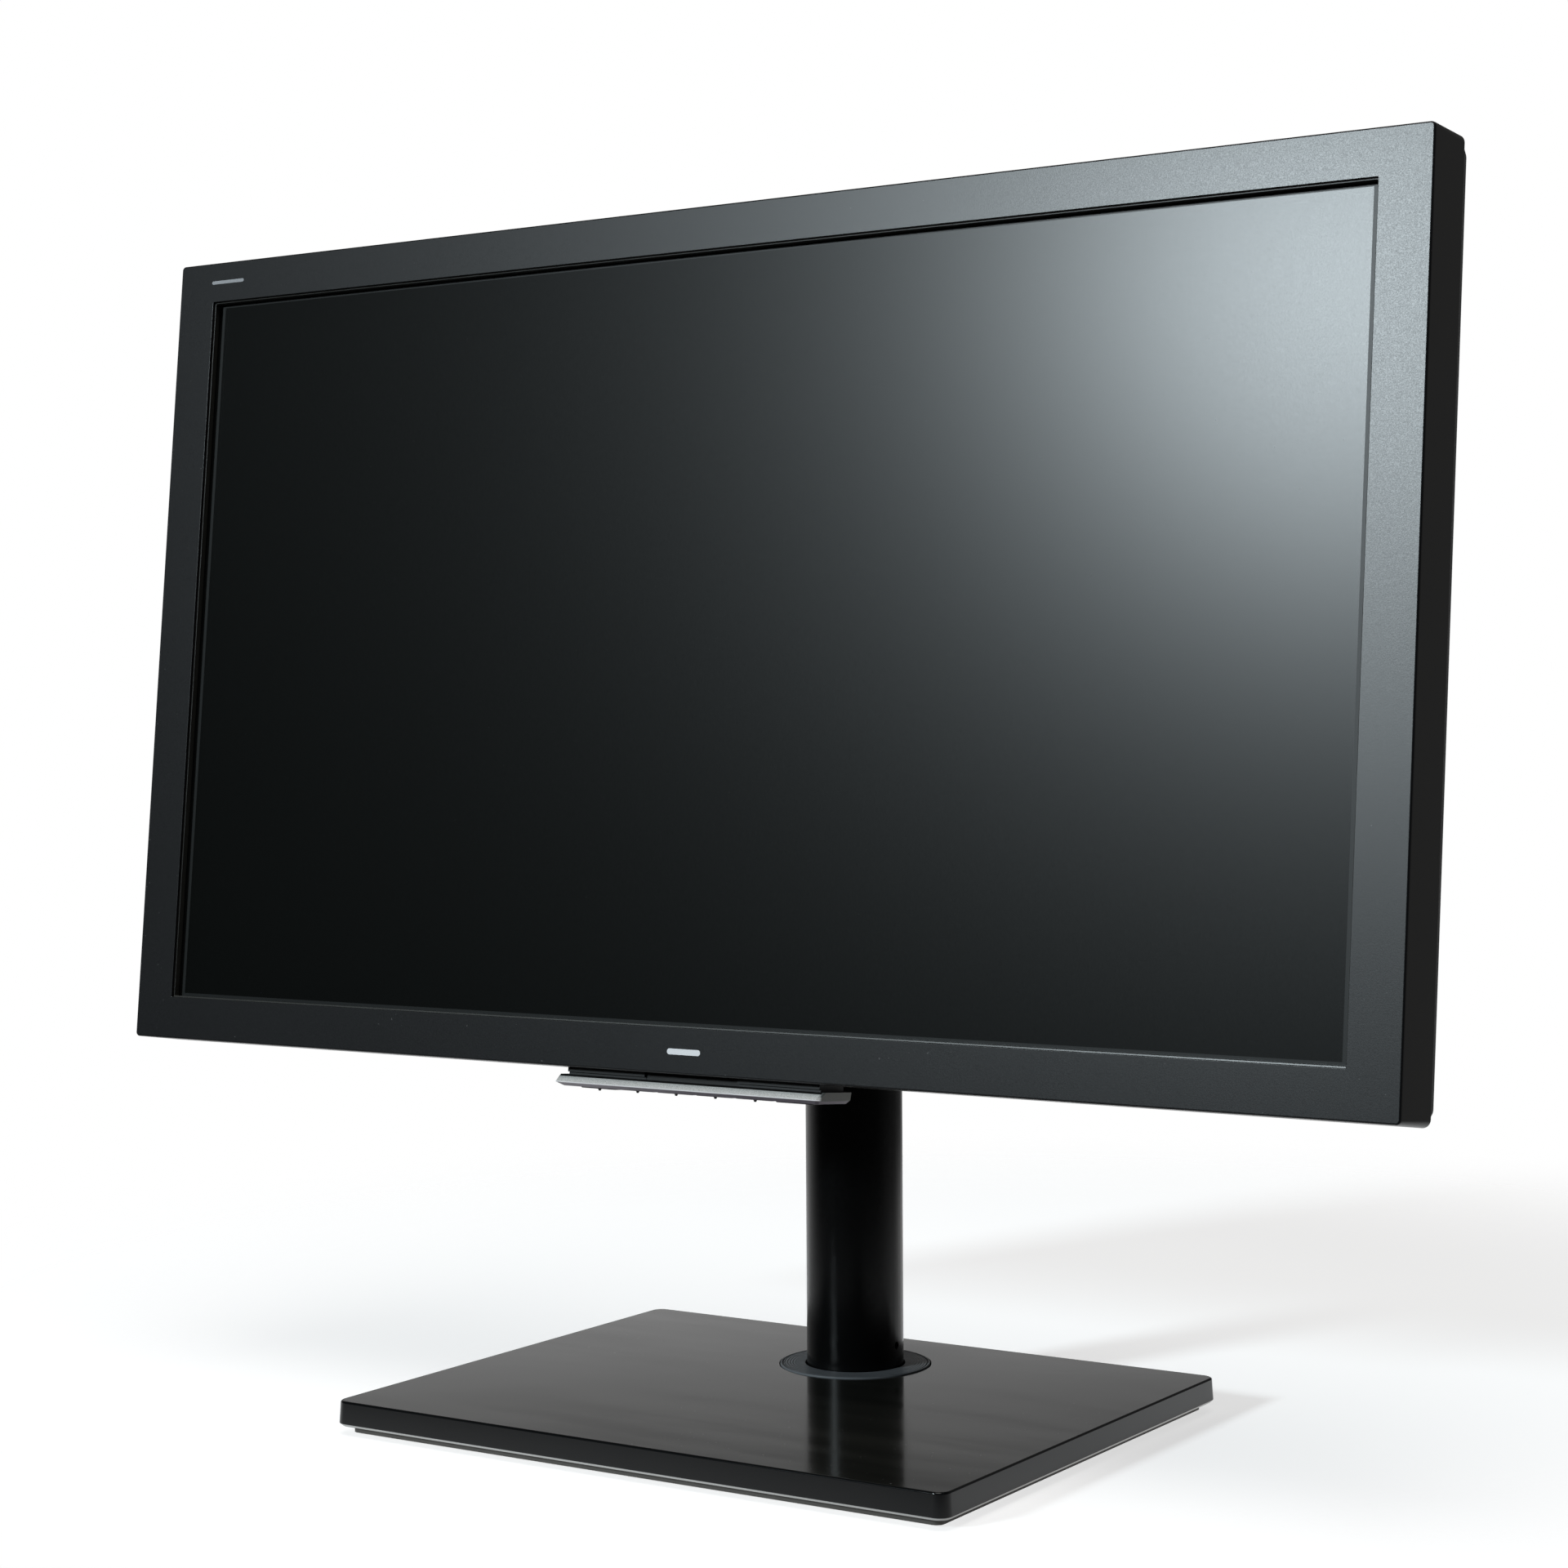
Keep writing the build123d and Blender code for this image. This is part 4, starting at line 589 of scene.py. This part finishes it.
def brass(place):
    film = place.noise(700.0, 2.0)
    return {"Base Color": film.tint((0.62, 0.46, 0.20), (0.78, 0.60, 0.28)), "Metallic": 1.0,
            "Roughness": film.ramp(0.3, 0.7, 0.2, 0.34)}


socket_black, socket_blue, brass = map(finish, (socket_black, socket_blue, brass))
coat(board_green, "socket_board")
coat(steel_bright, "socket_bracket", "network_socket", "usb_sockets")
coat(socket_black, "power_inlet", "audio_sockets")
coat(brass, "inlet_pins")
coat(nickel, "jack_screws")
coat(socket_blue, "video_sockets")


# ---- rear cover ---------------------------------------------------------------------------------
# The back is one black moulding with a coarser leathery grain than the front, two rows of vent slots,
# and four long screws into the chassis. A steel plate backs the lock slot.
def cover_plastic(place):
    cells = place.node("TexVoronoi", {"feature": "SMOOTH_F1"}, {"Vector": place, "Scale": 1500.0})
    grain = place.noise(1900.0, 3.0)
    return {"Base Color": place.noise(18.0, 2.0).tint((0.0125, 0.0130, 0.0140), (0.0165, 0.0170, 0.0180)),
            "Roughness": grain.ramp(0.3, 0.7, 0.40, 0.52),
            "Normal": (cells + grain * 0.5).bump(0.22, 0.00010)}


cover_plastic = finish(cover_plastic)
coat(cover_plastic, "rear_cover")
coat(screw_dark, "cover_screws")
coat(steel_bright, "lock_plate")


# ---- tilt bracket and pin -----------------------------------------------------------------------
# Folded steel, painted black, with four screws into the stand block. The riveted pin squeezes the
# spring-steel washers, whose friction holds the tilt; pin and washers are blackened.
coat(cast_paint, "tilt_bracket")
coat(screw_dark, "bracket_screws")
coat(steel_dark, "hinge_pin", "friction_washers")


# ---- control bar --------------------------------------------------------------------------------
# A thin bar under the lower edge carries the buttons. Its face is sprayed with a light silver metallic
# paint and its underside is darker; a black neck joins it to the frame, its stepped-back middle painted
# near black as painted shade.
BAR_TOP_RISE, BAR_NOSE_RISE = -168.0, -170.3
BAR_END = 59.0                           # the end faces lie beyond this distance from the middle
# Half the width of the neck's stepped-back middle, which is painted near black as painted shade.
RECESS_SHADE_HALF = 20.95


def bar_silver(place):
    """Metallic paint: flake glitter on the slanting face, a painted highlight along the nose, dusky
    underneath, dark on the end faces, and a black band along the top edge."""
    across, depth, rise = head_axes(place)
    flake = place.noise(2600.0, 2.0, 0.7)
    # Painted highlight: a thin near-white line along the nose.
    nose = 1 - (rise - (BAR_NOSE_RISE + 0.05) * MM).absolute().ramp(0.12 * MM, 0.34 * MM)
    under = 1 - rise.ramp((BAR_NOSE_RISE - 0.2) * MM, (BAR_NOSE_RISE - 0.04) * MM)
    side = across.absolute().ramp(BAR_END * MM, (BAR_END + 0.6) * MM) * depth.ramp(2.0 * MM, 3.0 * MM)
    crown = rise.ramp((BAR_TOP_RISE - 0.12) * MM, (BAR_TOP_RISE - 0.02) * MM) * (1 - side)
    face = flake.ramp(0.25, 0.75).tint((0.50, 0.50, 0.48), (0.88, 0.87, 0.85))
    dusky = place.mix(side * 0.9, place.mix(under, face, (0.25, 0.22, 0.26)), (0.075, 0.080, 0.070))
    lit = place.mix(nose * (1 - side), dusky, (0.95, 0.94, 0.96))
    return {"Base Color": place.mix(crown, lit, (0.008, 0.008, 0.008)), "Metallic": 0.15,
            "Roughness": flake.ramp(0.25, 0.75, 0.38, 0.5), "Normal": flake.bump(0.12, 0.00004)}


def neck_black(place):
    """Black moulding. Its stepped-back middle is painted near black: painted shade of the recess."""
    grain = place.noise(1800.0, 3.0)
    outer = grain.tint((0.011, 0.0115, 0.012), (0.017, 0.0175, 0.018))
    # Painted shade: near black across the stepped-back middle, the moulding's grain outside it.
    outside_recess_shade = place.axes()[0].absolute().ramp((RECESS_SHADE_HALF - 0.05) * MM, (RECESS_SHADE_HALF + 0.05) * MM)
    return {"Base Color": place.mix(outside_recess_shade, (0.003, 0.003, 0.003), outer),
            "Roughness": grain.ramp(0.3, 0.7, 0.40, 0.50), "Specular IOR Level": 0.3,
            "Normal": grain.bump(0.18, 0.00006)}


bar_silver, neck_black = map(finish, (bar_silver, neck_black))
coat(bar_silver, "control_bar")
coat(neck_black, "bar_neck")
coat(board_green, "key_board")


# ---- buttons ------------------------------------------------------------------------------------
# Six caps of soft dark plastic, worn a little shiny where the finger presses. Each rides on its own
# spring travel; five have a small moulded bump to feel for.
def button_dark(place):
    grain = place.noise(1500.0, 3.0)
    worn = place.noise(160.0, 2.0)
    return {"Base Color": worn.tint((0.010, 0.0095, 0.011), (0.020, 0.019, 0.021)),
            "Roughness": worn.ramp(0.3, 0.7, 0.30, 0.45), "Normal": grain.bump(0.12, 0.00006)}


button_dark = finish(button_dark)
coat(button_dark, *[f"button_{number}" for number in range(1, 7)])


# ---- floor, light and camera --------------------------------------------------------------------
# A pale floor that fades out into an even white surround, a soft lamp low in front to the left and a
# weak one overhead, a surround that is brighter behind the screen than in front of it, and the camera.
FLOOR_CENTRE = (-0.05, 0.25)
FLOOR_RADIUS, FLOOR_STEPS = 0.9, 96
FLOOR_FADE = (0.22, 0.62)
VIEW_AIM_DOWN, VIEW_TURN, VIEW_ROLL = radians(1.228), radians(32.998), radians(-0.35)


def floor_pale(place):
    """White card that glows a little and fades out with the distance from the floor's centre."""
    x, y = place.axes()[:2]
    away = ((x - FLOOR_CENTRE[0]) ** 2.0 + (y - FLOOR_CENTRE[1]) ** 2.0) ** 0.5
    grain = place.noise(400.0, 2.0)
    return {"Base Color": grain.tint((0.80, 0.80, 0.80), (0.84, 0.84, 0.84)), "Roughness": 0.9,
            "Alpha": 1 - away.ramp(*FLOOR_FADE), "Emission Color": (1.0, 1.0, 1.0),
            "Emission Strength": 0.62}


turn = np.linspace(0, 2 * pi, FLOOR_STEPS, endpoint=False)
floor_rim = np.column_stack([FLOOR_CENTRE[0] + FLOOR_RADIUS * np.cos(turn),
                             FLOOR_CENTRE[1] + FLOOR_RADIUS * np.sin(turn), np.zeros(FLOOR_STEPS)])
floor_mesh = bpy.data.meshes.new("floor")
floor_mesh.from_pydata(floor_rim.tolist(), [], [list(range(FLOOR_STEPS))])
floor_mesh.materials.append(finish(floor_pale))
floor = bpy.data.objects.new("floor", floor_mesh)
bpy.context.scene.collection.objects.link(floor)

surround = bpy.data.worlds.new("surround")
surround.use_nodes = True
bpy.context.scene.world = surround
air = Wire(surround.node_tree)
x, y, z = air.node("TexCoord", output="Generated").axes()
behind = (y * 0.57 - x * 0.82).ramp(0.2, 1.0)
beside = (x * 0.6 + y * 0.8).ramp(0.5, 1.0)
low_down = 1 - z.ramp(0.17, 0.25) * 0.78
glow = 0.022 + behind * behind * low_down * 0.745 + beside * 0.11
seen = air.node("LightPath", output="Is Camera Ray")
surround.node_tree.links.new((seen + (1 - seen) * glow).socket,
                             surround.node_tree.nodes["Background"].inputs["Strength"])
surround.node_tree.nodes["Background"].inputs["Color"].default_value = (1, 1, 1, 1)


def soft_lamp(name, aim, towards, distance, width, power, colour):
    """A round diffuse lamp, in a direction from the point that it faces."""
    data = bpy.data.lights.new(name, "AREA")
    data.shape, data.size, data.energy, data.color = "DISK", width, power, colour
    lamp = bpy.data.objects.new(name, data)
    aim, towards = Vector(aim), Vector(towards).normalized()
    lamp.location = aim + towards * distance
    lamp.rotation_euler = towards.to_track_quat("Z", "Y").to_euler()
    bpy.context.scene.collection.objects.link(lamp)


soft_lamp("front_lamp", (0.27, -0.04, 0.46), (-0.372, -0.870, 0.314), 9.0, 1.3, 545.0, (0.84, 0.95, 1.0))
soft_lamp("overhead_lamp", (0, 0, 0.2), (0.10, -0.35, 1.0), 2.0, 1.2, 13.0, (1.0, 0.99, 0.97))

camera_data = bpy.data.cameras.new("camera")
camera_data.sensor_width, camera_data.lens = 36.0, 69.865
camera_data.clip_start, camera_data.clip_end = 0.05, 50.0
camera = bpy.data.objects.new("camera", camera_data)
turned = Euler((pi / 2 - VIEW_AIM_DOWN, 0, VIEW_TURN)).to_matrix() @ Matrix.Rotation(VIEW_ROLL, 3, "Z")
camera.rotation_euler = turned.to_euler()
camera.location = (0.64655, -0.99152, 0.27476)
bpy.context.scene.collection.objects.link(camera)
bpy.context.scene.camera = camera
bpy.context.scene.view_settings.view_transform = "Standard"
